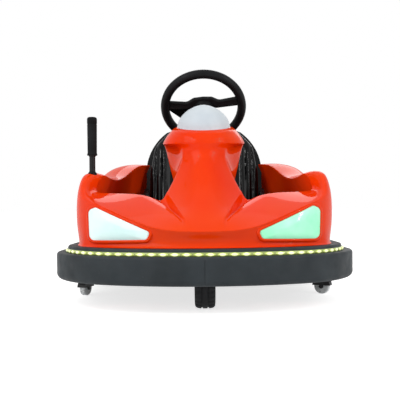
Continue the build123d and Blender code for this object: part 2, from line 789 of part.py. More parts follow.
def make_seat():
    lean = radians(SEAT_LEAN)
    back = Plane(
        origin=(0, y_at(SEAT_BACK_SETBACK), SEAT_BACK_FOOT),
        x_dir=(1, 0, 0),
        z_dir=(0, -cos(lean), sin(lean)),
    )

    def outline(margin, foot=0):
        """The arched back, seen square on, from its foot to its top."""
        low = SEAT_FOOT_WIDTH / 2 - margin
        waist_x = SEAT_WAIST_WIDTH / 2 - margin
        shoulder = (SEAT_SHOULDER_WIDTH / 2 - margin, SEAT_SHOULDER_RISE - margin / 2)
        arch = SEAT_ARCH_WIDTH / 2
        crest = SEAT_ARCH_RISE - margin
        top = SEAT_BACK_RISE - margin
        lines = [
            Line((-low, foot), (low, foot)),
            ThreePointArc((-arch, crest), (0, top), (arch, crest)),
        ]
        for side in (-1, 1):
            waist = (side * waist_x, SEAT_WAIST_RISE)
            lines.append(Line((side * low, foot), waist))
            lines.append(
                ThreePointArc(waist, (side * shoulder[0], shoulder[1]), (side * arch, crest))
            )
        return make_face(Wire.combine(lines)[0])

    pad = extrude(back * outline(SEAT_PAD_MARGIN), amount=-SEAT_PAD_THICKNESS)
    save("seat_back_pad", pad)
    behind = Pos(0, 0, -SEAT_PAD_THICKNESS - SEAT_GAP)
    base_bottom = SEAT_BASE_BOTTOM - SEAT_GAP - SEAT_SHELL_THICKNESS
    below_pad = (base_bottom - SEAT_BACK_FOOT) / cos(lean) + SEAT_SHELL_THICKNESS
    shell = extrude(back * behind * outline(0, foot=below_pad), amount=-SEAT_SHELL_THICKNESS)
    wing_outer = SEAT_BASE_HALF_WIDTH + SEAT_GAP + WING_THICKNESS
    shell += block(
        -wing_outer,
        wing_outer,
        SEAT_BASE_FRONT,
        SEAT_BACK_SETBACK + SEAT_PAD_THICKNESS + SEAT_PAN_TAIL,
        base_bottom,
        SEAT_BASE_BOTTOM - SEAT_GAP,
    )
    wing_rear = SEAT_BACK_SETBACK - WING_REAR_GAP
    wing = side_face(
        [
            (SEAT_BASE_FRONT, base_bottom),
            (SEAT_BASE_FRONT, WING_FRONT_TOP),
            (WING_ELBOW_SETBACK, WING_ELBOW_HEIGHT),
            (wing_rear + (WING_TOP - SEAT_BACK_FOOT) * tan(lean), WING_TOP),
            (wing_rear + (base_bottom - SEAT_BACK_FOOT) * tan(lean), base_bottom),
        ],
        [0, WING_TIP_ROUND, WING_ELBOW_ROUND, 0, 0],
    )
    for side in (-1, 1):
        inner = side * (SEAT_BASE_HALF_WIDTH + SEAT_GAP)
        shell += extrude(Pos(inner, 0, 0) * wing, amount=WING_THICKNESS, dir=(side, 0, 0))
    save("seat_shell", shell)

    base = side_face(
        [
            (SEAT_BASE_FRONT + SEAT_BASE_LIP, SEAT_BASE_BOTTOM),
            (SEAT_BASE_FRONT + SEAT_BASE_LIP, SEAT_BASE_TOP),
            (SEAT_BACK_SETBACK - SEAT_BASE_TOP_GAP, SEAT_BASE_TOP - SEAT_BASE_DROP),
            (SEAT_BACK_SETBACK - SEAT_BASE_FOOT_GAP, SEAT_BASE_BOTTOM),
        ],
        [0, SEAT_FRONT_ROLL, SEAT_REAR_ROLL, 0],
    )
    save("seat_base_pad", extrude(base, amount=SEAT_BASE_HALF_WIDTH, both=True))

    frame_bottom = base_bottom - SEAT_TUBE
    half_spacing = SEAT_FRAME_HALF_SPACING
    frame = Part()
    for side in (-1, 1):
        x0 = side * half_spacing - SEAT_TUBE / 2
        frame += block(
            x0, x0 + SEAT_TUBE, SEAT_FRAME_FRONT, SEAT_FRAME_REAR, frame_bottom, base_bottom
        )
    for setback in (SEAT_FRAME_FRONT + SEAT_LEG_INSET, SEAT_FRAME_REAR - SEAT_LEG_INSET):
        near, far = setback - SEAT_TUBE / 2, setback + SEAT_TUBE / 2
        frame += block(-half_spacing, half_spacing, near, far, frame_bottom, base_bottom)
        for side in (-1, 1):
            x0 = side * half_spacing - SEAT_TUBE / 2
            frame += block(x0, x0 + SEAT_TUBE, near, far, FLOOR_TOP, frame_bottom)
    save("seat_frame", frame)


def make_controls():
    pedal = side_face([(PEDAL_HEEL_SETBACK - ahead, FLOOR_TOP + z) for ahead, z in PEDAL_SIDE])
    save("foot_pedal", extrude(Pos(PEDAL_X, 0, 0) * pedal, amount=PEDAL_WIDTH / 2, both=True))

    plate_top = LEVER_PIVOT_HEIGHT - LEVER_EYE_RADIUS - LEVER_PLATE
    inner = LEVER_EYE_WIDTH / 2 + LEVER_SIDE_PLAY
    bracket = block(
        LEVER_X - inner - LEVER_EAR,
        LEVER_X + inner + LEVER_EAR,
        LEVER_SETBACK - LEVER_BRACKET_LENGTH / 2,
        LEVER_SETBACK + LEVER_BRACKET_LENGTH / 2,
        plate_top - LEVER_PLATE,
        plate_top,
    )
    pivot = Pos(LEVER_X, y_at(LEVER_SETBACK), LEVER_PIVOT_HEIGHT) * Rot(0, 90, 0)
    for side in (-1, 1):
        middle = LEVER_X + side * (inner + LEVER_EAR / 2)
        ear = Pos(middle, y_at(LEVER_SETBACK), LEVER_PIVOT_HEIGHT) * Rot(0, 90, 0)
        bracket += ear * Cylinder(LEVER_EYE_RADIUS, LEVER_EAR)
        bracket += block(
            middle - LEVER_EAR / 2,
            middle + LEVER_EAR / 2,
            LEVER_SETBACK - LEVER_EYE_RADIUS,
            LEVER_SETBACK + LEVER_EYE_RADIUS,
            plate_top,
            LEVER_PIVOT_HEIGHT,
        )
    bracket += pivot * Cylinder(LEVER_PIN_RADIUS, 2 * inner + 2 * LEVER_EAR)
    save("lever_bracket", bracket)

    rod = pivot * Cylinder(LEVER_EYE_RADIUS, LEVER_EYE_WIDTH)
    neck_top = LEVER_PIVOT_HEIGHT + LEVER_NECK_LENGTH
    rod += post(LEVER_X, LEVER_SETBACK, LEVER_PIVOT_HEIGHT, neck_top, LEVER_NECK_RADIUS)
    rod += post(
        LEVER_X, LEVER_SETBACK, neck_top - LEVER_NECK_LAP, LEVER_ROD_TOP, LEVER_ROD_RADIUS
    )
    rod -= pivot * Cylinder(LEVER_PIN_RADIUS + RUNNING_CLEARANCE, BEYOND)
    save("hand_lever", rod)
    grip = post(LEVER_X, LEVER_SETBACK, GRIP_BOTTOM, GRIP_TOP, GRIP_RADIUS)
    grip = fillet(grip.edges().filter_by(GeomType.CIRCLE), GRIP_ROUND)
    grip -= post(LEVER_X, LEVER_SETBACK, 0, LEVER_ROD_TOP, LEVER_ROD_RADIUS)
    save("lever_grip", grip)


def make_steering():
    column = Pos(0, y_at(WHEEL_SETBACK), WHEEL_HEIGHT) * Rot(COLUMN_ANGLE - 90, 0, 0)
    rim = Torus(RIM_RADIUS, RIM_TUBE_RADIUS)
    hub = Cylinder(WHEEL_HUB_RADIUS, WHEEL_HUB_THICKNESS)
    hub = fillet(hub.edges().filter_by(GeomType.CIRCLE), WHEEL_HUB_ROUND)
    wheel = rim + hub
    outline = [
        (0, -SPOKE_ROOT_WIDTH / 2),
        (RIM_RADIUS, -SPOKE_TIP_WIDTH / 2),
        (RIM_RADIUS, SPOKE_TIP_WIDTH / 2),
        (0, SPOKE_ROOT_WIDTH / 2),
    ]
    spoke = extrude(make_face(Polyline(*outline, close=True)), SPOKE_THICKNESS / 2, both=True)
    for turn in (0, 90, 180):
        wheel += Rot(0, 0, turn) * spoke
    wheel -= Pos(0, 0, -WHEEL_HUB_THICKNESS / 2) * Cylinder(SHAFT_RADIUS, WHEEL_HUB_THICKNESS)
    save("steering_wheel", column * Rot(0, 0, WHEEL_TURN) * wheel)

    shaft = Pos(0, 0, -SHAFT_FAR / 2) * Cylinder(SHAFT_RADIUS, SHAFT_FAR)
    save("steering_shaft", column * shaft)

    length = COLUMN_TUBE_FAR - COLUMN_TUBE_NEAR
    middle = Pos(0, 0, -(COLUMN_TUBE_FAR + COLUMN_TUBE_NEAR) / 2)
    tube = column * middle * Cylinder(COLUMN_TUBE_RADIUS, length)
    bore = column * middle * Cylinder(SHAFT_RADIUS + RUNNING_CLEARANCE, 2 * length)
    save("column_tube", tube - bore)
    # the post's near edge meets the tube's axis
    reach = WHEEL_SETBACK - POST_SETBACK + POST_WIDTH / 2
    meeting = WHEEL_HEIGHT - reach * tan(radians(COLUMN_ANGLE))
    strut = block(
        -POST_WIDTH / 2,
        POST_WIDTH / 2,
        POST_SETBACK - POST_WIDTH / 2,
        POST_SETBACK + POST_WIDTH / 2,
        FLOOR_TOP,
        meeting,
    )
    save("column_post", strut - column * middle * Cylinder(COLUMN_TUBE_RADIUS, 2 * length))


# ---------------------------------------------------------------- wheels


def make_drive():
    centre = Pos(0, y_at(DRIVE_SETBACK), TYRE_RADIUS) * Rot(0, 90, 0)
    half = TYRE_WIDTH / 2
    tyre = make_face(
        FilletPolyline(
            (HUB_RADIUS, -half + TYRE_FLANK_DRAFT),
            (TYRE_RADIUS, -half),
            (TYRE_RADIUS, half),
            (HUB_RADIUS, half - TYRE_FLANK_DRAFT),
            radius=[0, TYRE_SHOULDER_RADIUS, TYRE_SHOULDER_RADIUS, 0],
            close=True,
        )
    )
    save("drive_tyre", centre * revolve(Plane.XZ * tyre, Axis.Z))
    hub = Cylinder(HUB_RADIUS, TYRE_WIDTH - 2 * TYRE_FLANK_DRAFT) - Cylinder(
        AXLE_RADIUS + RUNNING_CLEARANCE, TYRE_WIDTH
    )
    save("drive_hub", centre * hub)

    leg_outer = half + FORK_GAP + FORK_PLATE
    save("drive_axle", centre * Cylinder(AXLE_RADIUS, 2 * (leg_outer + AXLE_PROUD)))

    crown_bottom = 2 * TYRE_RADIUS + CROWN_GAP
    crown_top = crown_bottom + CROWN_THICKNESS
    fork = block(
        -leg_outer,
        leg_outer,
        DRIVE_SETBACK - FORK_DEPTH / 2,
        DRIVE_SETBACK + FORK_DEPTH / 2,
        crown_bottom,
        crown_top,
    )
    for side in (-1, 1):
        x0, x1 = sorted((side * (half + FORK_GAP), side * leg_outer))
        fork += block(
            x0,
            x1,
            DRIVE_SETBACK - FORK_DEPTH / 2,
            DRIVE_SETBACK + FORK_DEPTH / 2,
            TYRE_RADIUS,
            crown_bottom,
        )
        fork += Pos((x0 + x1) / 2, y_at(DRIVE_SETBACK), TYRE_RADIUS) * Rot(0, 90, 0) * Cylinder(
            FORK_DEPTH / 2, x1 - x0
        )
    fork -= centre * Cylinder(AXLE_RADIUS, BEYOND)
    fork += post(0, DRIVE_SETBACK, crown_top, HOUSING_TOP + KINGPIN_PROUD, KINGPIN_RADIUS)
    save("drive_fork", fork)


def make_castors():
    plate_top = RAIL_BOTTOM - OUTRIGGER_THICKNESS
    boss_top = plate_top - CASTOR_PLATE_THICKNESS
    boss_bottom = boss_top - CASTOR_BOSS_HEIGHT
    crown_top = boss_bottom - CASTOR_HEAD_GAP
    cheek_inner = CASTOR_WHEEL_WIDTH / 2 + CASTOR_CHEEK_GAP
    cheek_outer = cheek_inner + CASTOR_CHEEK
    chamber_radius = CASTOR_WHEEL_RADIUS + CASTOR_HOOD_GAP
    hood_radius = chamber_radius + CASTOR_HOOD
    hub = Pos(CASTOR_TRAIL, 0, CASTOR_WHEEL_RADIUS) * Rot(90, 0, 0)

    plate = Pos(0, 0, boss_top + CASTOR_PLATE_THICKNESS / 2) * Box(
        CASTOR_PLATE_X, CASTOR_PLATE_Y, CASTOR_PLATE_THICKNESS
    )
    plate += Pos(0, 0, (boss_top + boss_bottom) / 2) * Cylinder(
        CASTOR_BOSS_RADIUS, CASTOR_BOSS_HEIGHT
    )
    plate -= Pos(0, 0, plate_top / 2) * Cylinder(CASTOR_PIN_RADIUS + RUNNING_CLEARANCE, plate_top)
    for dx in (-1, 1):
        for dy in (-1, 1):
            plate -= Pos(dx * CASTOR_BOLT_X / 2, dy * CASTOR_BOLT_Y / 2, 0) * Cylinder(
                CASTOR_BOLT_RADIUS, 2 * plate_top
            )

    skirt = CASTOR_WHEEL_RADIUS + CASTOR_SKIRT
    crown_bottom = skirt + CASTOR_CROWN_RISE
    pin_top = plate_top - CASTOR_PIN_SHORT
    fork = hub * Cylinder(hood_radius, 2 * cheek_outer)
    fork -= Pos(0, 0, skirt - BEYOND / 2) * Box(BEYOND, BEYOND, BEYOND)
    fork += Pos(0, 0, (crown_bottom + crown_top) / 2) * Cylinder(
        CASTOR_CROWN_RADIUS, crown_top - crown_bottom
    )
    fork += hub * Cylinder(CASTOR_TAB_RADIUS, 2 * cheek_outer)
    fork -= hub * Cylinder(chamber_radius, 2 * cheek_inner)
    fork += hub * Cylinder(CASTOR_AXLE_RADIUS, 2 * cheek_outer)
    fork += Pos(0, 0, (crown_top + pin_top) / 2) * Cylinder(CASTOR_PIN_RADIUS, pin_top - crown_top)

    half = CASTOR_WHEEL_WIDTH / 2
    tread = make_face(
        FilletPolyline(
            (CASTOR_AXLE_RADIUS + RUNNING_CLEARANCE, -half),
            (CASTOR_WHEEL_RADIUS, -half),
            (CASTOR_WHEEL_RADIUS, half),
            (CASTOR_AXLE_RADIUS + RUNNING_CLEARANCE, half),
            radius=[0, CASTOR_TREAD_RADIUS, CASTOR_TREAD_RADIUS, 0],
            close=True,
        )
    )
    wheel = hub * revolve(Plane.XZ * tread, Axis.Z)

    for name, side, across, setback, trail_angle in CASTORS:
        place = Pos(side * across, y_at(setback), 0)
        save(f"castor_plate_{name}", place * plate)
        save(f"castor_fork_{name}", place * Rot(0, 0, trail_angle) * fork)
        save(f"castor_wheel_{name}", place * Rot(0, 0, trail_angle) * wheel)


make_bumper()
make_frame()
make_body()
make_seat()
make_controls()
make_steering()
make_drive()
make_castors()
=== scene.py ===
import json
import math

import bmesh
import bpy
from mathutils import Matrix, Vector


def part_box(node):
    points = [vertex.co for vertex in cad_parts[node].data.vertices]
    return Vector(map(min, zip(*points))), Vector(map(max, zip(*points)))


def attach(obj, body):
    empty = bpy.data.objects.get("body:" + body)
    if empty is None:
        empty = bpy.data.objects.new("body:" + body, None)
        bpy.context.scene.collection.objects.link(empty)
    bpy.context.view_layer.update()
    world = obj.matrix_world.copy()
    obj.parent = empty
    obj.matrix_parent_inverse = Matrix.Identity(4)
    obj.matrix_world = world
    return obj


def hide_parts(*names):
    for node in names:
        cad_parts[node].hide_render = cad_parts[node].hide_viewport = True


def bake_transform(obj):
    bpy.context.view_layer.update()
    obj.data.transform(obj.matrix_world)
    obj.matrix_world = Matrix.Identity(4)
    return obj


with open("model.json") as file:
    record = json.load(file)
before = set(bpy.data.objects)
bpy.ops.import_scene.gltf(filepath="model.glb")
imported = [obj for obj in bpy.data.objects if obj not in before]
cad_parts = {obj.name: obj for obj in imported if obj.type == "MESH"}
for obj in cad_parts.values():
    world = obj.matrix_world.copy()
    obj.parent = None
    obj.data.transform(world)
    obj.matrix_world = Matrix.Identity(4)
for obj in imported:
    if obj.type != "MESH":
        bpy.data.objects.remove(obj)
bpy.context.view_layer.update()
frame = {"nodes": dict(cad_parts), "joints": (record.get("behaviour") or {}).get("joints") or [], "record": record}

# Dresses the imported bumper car. The front faces -Y and the driver's right is -X. Blender works
# in metres; the tables here are in millimetres, and mostly hold (across, setback, height).
MM = 0.001
bpy.context.scene.view_settings.view_transform = "Standard"

RING_LOW, RING_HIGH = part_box("bumper_ring")
LIP_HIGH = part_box("bumper_lip")[1]
CAR_FRONT = RING_LOW.y
CAR_REAR = RING_HIGH.y
CAR_LENGTH = (CAR_REAR - CAR_FRONT) / MM
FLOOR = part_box("floor_pan")[1].z / MM  # top of the cockpit's floor
SIDES = (("left", 1), ("right", -1))


def at(x, setback, z):
    """A point from millimetres: across, behind the bumper's front, and above the ground."""
    return Vector((x * MM, CAR_FRONT + setback * MM, z * MM))


def all_at(line):
    return [at(*point) for point in line]


def new_object(name, data):
    made = bpy.data.objects.new(name, data)
    bpy.context.scene.collection.objects.link(made)
    return made


def evaluated(piece):
    """A piece as its modifiers make it."""
    return piece.evaluated_get(bpy.context.evaluated_depsgraph_get())


def joint_named(name):
    return next(joint for joint in frame["joints"] if joint["name"] == name)


def joint_place(name):
    return Vector(joint_named(name)["pos_m"])


def clamped(value):
    """A value held between 0 and 1."""
    return min(1.0, max(0.0, value))


def full_turn(count):
    """Evenly spaced angles all the way round."""
    return [2 * math.pi * k / count for k in range(count)]


# ---- camera

CAMERA_DISTANCE = 2.10  # in front of the bumper
CAMERA_HEIGHT = 0.354
CAMERA_LENS = 60.3
CAMERA_SENSOR = 36
CAMERA_SHIFT = (-0.01075, 0.0125)
CAMERA_ROLL = 0.5


def make_camera():
    data = bpy.data.cameras.new("camera")
    data.lens = CAMERA_LENS
    data.sensor_width = CAMERA_SENSOR
    data.shift_x, data.shift_y = CAMERA_SHIFT
    camera = new_object("camera", data)
    level = Matrix.Rotation(math.radians(90), 4, "X")
    roll = Matrix.Rotation(math.radians(CAMERA_ROLL), 4, "Y")
    place = Matrix.Translation((0, CAR_FRONT - CAMERA_DISTANCE, CAMERA_HEIGHT))
    camera.matrix_world = place @ roll @ level
    bpy.context.scene.camera = camera


# ---- material helpers

BLACK = (0, 0, 0, 1)
WHITE = (1, 1, 1, 1)
PATCH_RANGE = (0.35, 0.65)  # noise values between which one colour fades into another
NOISE_RANGE = (0.3, 0.7)  # where most of a noise texture's values lie


def srgb(red, green, blue):
    """A linear colour from display values between 0 and 255."""
    shares = [value / 255 for value in (red, green, blue)]
    linear = [s / 12.92 if s <= 0.04045 else ((s + 0.055) / 1.055) ** 2.4 for s in shares]
    return (*linear, 1.0)


def scaled(colour, factor):
    """A darker or brighter tone of a colour."""
    return (*[min(1.0, c * factor) for c in colour[:3]], 1.0)


def feed(node, inputs):
    """Links each input of a node to the socket it is given, or sets it to the value."""
    for name, value in inputs.items():
        socket = node.inputs[name]
        if isinstance(value, bpy.types.NodeSocket):
            node.id_data.links.new(value, socket)
        else:
            socket.default_value = value


def add_node(tree, kind, inputs, **settings):
    node = tree.nodes.new(f"ShaderNode{kind}")
    for key, value in settings.items():
        setattr(node, key, value)
    feed(node, inputs)
    return node


MATERIALS = {}


def worn(name, colour, patches, rough, grains, spots=None, **sockets):
    """The shader of a new Principled material, worn by noise in object space.

    patches is (colour, scale), spots (colour, scale, the noise values they fade in between),
    rough (lowest, highest, scale) and each grain (scale, detail, strength, distance).
    """
    MATERIALS[name] = material = bpy.data.materials.new(name)
    material.use_nodes = True
    material.diffuse_color = colour
    tree = material.node_tree
    shader = tree.nodes["Principled BSDF"]
    place = tree.nodes.new("ShaderNodeTexCoord").outputs["Object"]

    def noise(scale, detail):
        inputs = {"Vector": place, "Scale": scale, "Detail": detail}
        return add_node(tree, "TexNoise", inputs).outputs["Fac"]

    def ramp(source, places, colours):
        node = add_node(tree, "ValToRGB", {"Fac": source})
        for element, at_value, tone in zip(node.color_ramp.elements, places, colours):
            element.position = at_value
            element.color = tone
        return node.outputs["Color"]

    other, scale = patches
    shown = ramp(noise(scale, 4), PATCH_RANGE, (colour, other))
    if spots:
        spot, scale, *places = spots
        mask = ramp(noise(scale, 2), places, (BLACK, WHITE))
        mix = {"Factor": mask, "A": shown, "B": spot}
        shown = add_node(tree, "Mix", mix, data_type="RGBA").outputs["Result"]
    low, high, scale = rough
    spread = {"Value": noise(scale, 5), "To Min": low, "To Max": high}
    spread["From Min"], spread["From Max"] = NOISE_RANGE
    gloss = add_node(tree, "MapRange", spread).outputs["Result"]
    feed(shader, {"Base Color": shown, "Roughness": gloss})
    feed(shader, {socket.replace("_", " "): value for socket, value in sockets.items()})
    relief = {}
    for scale, detail, strength, distance in grains:
        relief.update(Height=noise(scale, detail), Strength=strength, Distance=distance)
        relief["Normal"] = add_node(tree, "Bump", relief).outputs["Normal"]
        feed(shader, {"Normal": relief["Normal"]})
    return shader


# ---- materials


def painted_steel(name, colour, low=0.35, high=0.55):
    """Dull paint on steel, darker in patches, with small pale chips."""
    worn(
        name, colour, patches=(scaled(colour, 0.75), 8),
        spots=(scaled(colour, 1.9), 70, 0.66, 0.76), rough=(low, high, 25),
        grains=[(240, 3, 0.12, 0.0006)], Specular_IOR_Level=0.2,
    )


def bright_metal(name, colour, low, high):
    """Bare or plated metal, a little uneven in tone and gloss."""
    worn(
        name, colour, patches=(scaled(colour, 0.8), 30), rough=(low, high, 60),
        grains=[(400, 3, 0.08, 0.0004)], Metallic=1.0,
    )


def moulded_black(name, level, low, high, grain_scale=280, relief=0.15, gloss=0.3):
    """Black rubber, vinyl or plastic with a fine grain and a few pale specks."""
    worn(
        name, srgb(level, level + 1, level + 3),
        patches=(srgb(level * 0.6, level * 0.62, level * 0.66), 14),
        spots=(srgb(level + 20, level + 20, level + 21), 120, 0.7, 0.8),
        rough=(low, high, 30), grains=[(grain_scale, 3, relief, 0.0008)],
        Specular_IOR_Level=gloss,
    )


def lens(name, deep, pale, glow):
    """A milky lens that glows from behind, paler in soft patches."""
    shader = worn(
        name, deep, patches=(pale, 6), rough=(0.12, 0.25, 15), grains=[(90, 2, 0.05, 0.0006)],
        Coat_Weight=0.35, Coat_Roughness=0.08, Emission_Strength=glow,
    )
    feed(shader, {"Emission Color": shader.inputs["Base Color"].links[0].from_socket})


def make_materials():
    """Makes every finish, and gives each CAD node the one that its slot is named after."""
    # deep gloss red-orange gel coat, a little orange-peeled, with fine scuffs
    worn(
        "body_shell", srgb(240, 66, 6), patches=(srgb(238, 54, 4), 3),
        spots=(srgb(222, 42, 6), 90, 0.74, 0.86), rough=(0.3, 0.42, 9),
        grains=[(260, 2, 0.03, 0.0004), (7, 1, 0.06, 0.004)],
        Specular_IOR_Level=0.0, Coat_Weight=0.42, Coat_Roughness=0.03, Coat_IOR=1.32,
    )
    # grey-black rubber, dusty in patches, with small pale scuffs
    worn(
        "bumper_rubber", srgb(46, 52, 56), patches=(srgb(38, 43, 46), 6),
        spots=(srgb(58, 63, 66), 48, 0.72, 0.86), rough=(0.5, 0.72, 20),
        grains=[(300, 3, 0.15, 0.0008), (16, 2, 0.1, 0.002)], Specular_IOR_Level=0.22,
    )
    # the unlit lamp's milky plastic, satin, with the faint haze of years of wiping
    worn(
        "dome_white", srgb(212, 220, 225), patches=(srgb(192, 201, 210), 5),
        rough=(0.38, 0.52, 10), grains=[(140, 2, 0.05, 0.0006)], Specular_IOR_Level=0.35,
    )
    # white nylon with the dirt that a castor's wheel picks up
    worn(
        "castor_grey", srgb(240, 243, 244), patches=(srgb(222, 226, 228), 40),
        spots=(srgb(120, 122, 124), 160, 0.62, 0.7), rough=(0.35, 0.5, 60),
        grains=[(500, 3, 0.1, 0.0004)],
    )
    for name, deep, pale, glow in (
        ("led", (150, 165, 90), (172, 184, 104), 0.05),
        ("led_halo", (196, 214, 104), (214, 228, 130), 0.25),
        ("led_core", (240, 247, 178), (246, 251, 206), 0.6),
        ("lens_mint", (132, 240, 186), (178, 250, 216), 0.2),
        ("lens_white", (198, 232, 230), (222, 244, 242), 0.2),
        ("lens_red", (132, 8, 8), (170, 14, 12), 0.05),
    ):
        lens(name, srgb(*deep), srgb(*pale), glow)
    painted_steel("frame_steel", srgb(42, 42, 44))
    painted_steel("floor_plate", srgb(60, 60, 62), 0.5, 0.7)
    painted_steel("lever_paint", srgb(20, 18, 19), 0.3, 0.45)
    painted_steel("castor_black", srgb(34, 34, 36))
    bright_metal("bright_steel", srgb(190, 190, 194), 0.22, 0.36)
    bright_metal("hub_cast", srgb(150, 150, 152), 0.4, 0.55)
    moulded_black("seat_vinyl", 8, 0.08, 0.15, grain_scale=420, relief=0.05, gloss=0.14)
    moulded_black("seat_plastic", 12, 0.2, 0.32, gloss=0.15)
    moulded_black("wheel_grip", 20, 0.42, 0.55, gloss=0.12)
    moulded_black("grip_foam", 26, 0.6, 0.8, grain_scale=200, relief=0.3, gloss=0.12)
    moulded_black("tyre_rubber", 30, 0.7, 0.9, grain_scale=220, relief=0.3)
    moulded_black("battery_case", 52, 0.45, 0.6)
    for part in frame["record"]["subparts"]:
        mesh = frame["nodes"][part["node"]].data
        mesh.materials.clear()
        mesh.materials.append(MATERIALS[part["material_slot"]])


# ---- mesh helpers


def link(name, mesh, slot, body="chassis", smooth=True, finish=None):
    """Makes a piece from a mesh, gives it the material named by its slot or finish, and lets it ride on a body."""
    for polygon in mesh.polygons:
        polygon.use_smooth = smooth
    mesh.materials.append(MATERIALS[finish or slot])
    piece = new_object(name, mesh)
    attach(piece, body)
    return piece


def add_modifier(piece, kind, **settings):
    modifier = piece.modifiers.new(kind.lower(), kind)
    for key, value in settings.items():
        setattr(modifier, key, value)


WELD = 20000  # points that round to the same 1/20000 m share a vertex of the cage


class Cage:
    """A coarse control mesh made of patches that share their borders."""

    def __init__(self):
        self.mesh = bmesh.new()
        self.crease = self.mesh.edges.layers.float.new("crease_edge")
        self.known = {}

    def vertex(self, point):
        key = tuple(round(c * WELD) for c in point)
        if key not in self.known:
            self.known[key] = self.mesh.verts.new(point)
        return self.known[key]

    def patch(self, rows):
        """Quads between neighbouring rows of points; a repeated point makes a triangle."""
        grid = [[self.vertex(point) for point in all_at(row)] for row in rows]
        for low, high in zip(grid, grid[1:]):
            for i in range(len(low) - 1):
                ring = [low[i], low[i + 1], high[i + 1], high[i]]
                corners = [v for k, v in enumerate(ring) if v not in ring[:k]]
                if len(corners) > 2 and self.mesh.faces.get(corners) is None:
                    self.mesh.faces.new(corners)

    def sharpen(self, line, weight):
        vertices = [self.vertex(point) for point in all_at(line)]
        for pair in zip(vertices, vertices[1:]):
            edge = self.mesh.edges.get(pair)
            if edge:
                edge[self.crease] = max(edge[self.crease], weight)

    def finish(self, name):
        bmesh.ops.recalc_face_normals(self.mesh, faces=self.mesh.faces)
        mesh = bpy.data.meshes.new(name)
        self.mesh.to_mesh(mesh)
        self.mesh.free()
        return mesh


def rounded(corners, steps=5):
    """A closed outline in two dimensions from (x, y, radius) corners."""
    outline = []
    for i, (x, y, radius) in enumerate(corners):
        here = Vector((x, y))
        before = (Vector(corners[i - 1][:2]) - here).normalized()
        after = (Vector(corners[(i + 1) % len(corners)][:2]) - here).normalized()
        half = before.angle(after) / 2
        centre = here + (before + after).normalized() * radius / math.sin(half)
        start = here + before * radius / math.tan(half) - centre
        end = here + after * radius / math.tan(half) - centre
        sweep = math.pi - 2 * half
        for k in range(steps + 1):
            angle = sweep * k / steps
            spoke = start * math.sin(sweep - angle) + end * math.sin(angle)
            outline.append(centre + spoke / math.sin(sweep))
    return outline


def widened(outline, amount):
    """The outline moved outwards along its normals; a negative amount moves it inwards."""
    area = sum(a.x * b.y - b.x * a.y for a, b in zip(outline, outline[1:] + outline[:1]))
    turn = 1 if area > 0 else -1
    moved = []
    for i, here in enumerate(outline):
        along = (outline[(i + 1) % len(outline)] - outline[i - 1]).normalized()
        moved.append(here + Vector((along.y, -along.x)) * turn * amount)
    return moved


def skin(name, loops, slot, body="chassis", wrap=False, caps="fan", place=Matrix()):
    """A smooth skin through closed loops of points, with its ends capped or joined."""
    return link(name, skin_mesh(name, [loops], wrap, caps, place), slot, body)


def skin_mesh(name, groups, wrap=False, caps="fan", place=Matrix()):
    """One mesh from several groups of closed loops."""
    vertices = []
    faces = []
    for loops in groups:
        count = len(loops[0])
        base = len(vertices)
        vertices.extend(place @ Vector(p) for loop in loops for p in loop)
        starts = [base + k * count for k in range(len(loops))]
        pairs = list(zip(starts, starts[1:]))
        if wrap:
            pairs.append((starts[-1], starts[0]))
        for low, high in pairs:
            for i in range(count):
                j = (i + 1) % count
                faces.append((low + i, low + j, high + j, high + i))
        for start in (starts[0], starts[-1]) if not wrap and caps else ():
            ring = list(range(start, start + count))
            if caps == "flat":
                faces.append(tuple(ring))
                continue
            vertices.append(sum((vertices[k] for k in ring), Vector()) / count)
            middle = len(vertices) - 1
            faces.extend((a, b, middle) for a, b in zip(ring, ring[1:] + ring[:1]))
    mesh = bpy.data.meshes.new(name)
    mesh.from_pydata(vertices, [], faces)
    shape = bmesh.new()
    shape.from_mesh(mesh)
    bmesh.ops.recalc_face_normals(shape, faces=shape.faces)
    shape.to_mesh(mesh)
    shape.free()
    return mesh


def circle(radius, height, segments=48):
    """Points of a circle round the Z axis, at a height."""
    return [(radius * math.cos(a), radius * math.sin(a), height) for a in full_turn(segments)]


def lathe(name, profile, slot, body="chassis", place=Matrix(), segments=48, **settings):
    """A turned piece about the local Z axis, from (radius, height) in millimetres."""
    loops = [circle(r * MM, h * MM, segments) for r, h in profile]
    return skin(name, loops, slot, body, place=place, **settings)


def aimed(origin, direction, across=(1, 0, 0)):
    """A matrix whose Z axis has the direction and whose X axis lies near the one across."""
    z = Vector(direction).normalized()
    y = z.cross(Vector(across)).normalized()
    x = y.cross(z)
    place = Matrix((x, y, z)).transposed().to_4x4()
    place.translation = origin
    return place


def flat_pad(outline, levels):
    """Loops of a flat outline, each level being (how far outwards, height), in millimetres."""
    return [
        [(p.x * MM, p.y * MM, height * MM) for p in widened(outline, grow)]
        for grow, height in levels
    ]


# ---- body

BODY_INSET = 65.0
BODY_HALF_WIDTH = 474.0
BODY_FRONT_RADIUS = 800.0
BODY_CORNER_RADIUS = 300.0
FOOT = 207.0
COWL_EDGE = 333.0
COWL_SHARES = (0.07, 0.3, 0.55, 0.8, 0.96, 1.0)  # places from the crease to the cowl's edge


def front_plan(x):
    """The setback of the body's bowed front at a distance across."""
    centre_x = BODY_HALF_WIDTH - BODY_CORNER_RADIUS
    turn = math.asin(centre_x / (BODY_FRONT_RADIUS - BODY_CORNER_RADIUS))
    if x <= BODY_FRONT_RADIUS * math.sin(turn):
        return BODY_INSET + BODY_FRONT_RADIUS * (1 - math.cos(math.asin(x / BODY_FRONT_RADIUS)))
    centre = BODY_INSET + BODY_FRONT_RADIUS
    centre -= (BODY_FRONT_RADIUS - BODY_CORNER_RADIUS) * math.cos(turn)
    reach = min(1.0, (x - centre_x) / BODY_CORNER_RADIUS)
    return centre - BODY_CORNER_RADIUS * math.cos(math.asin(reach))


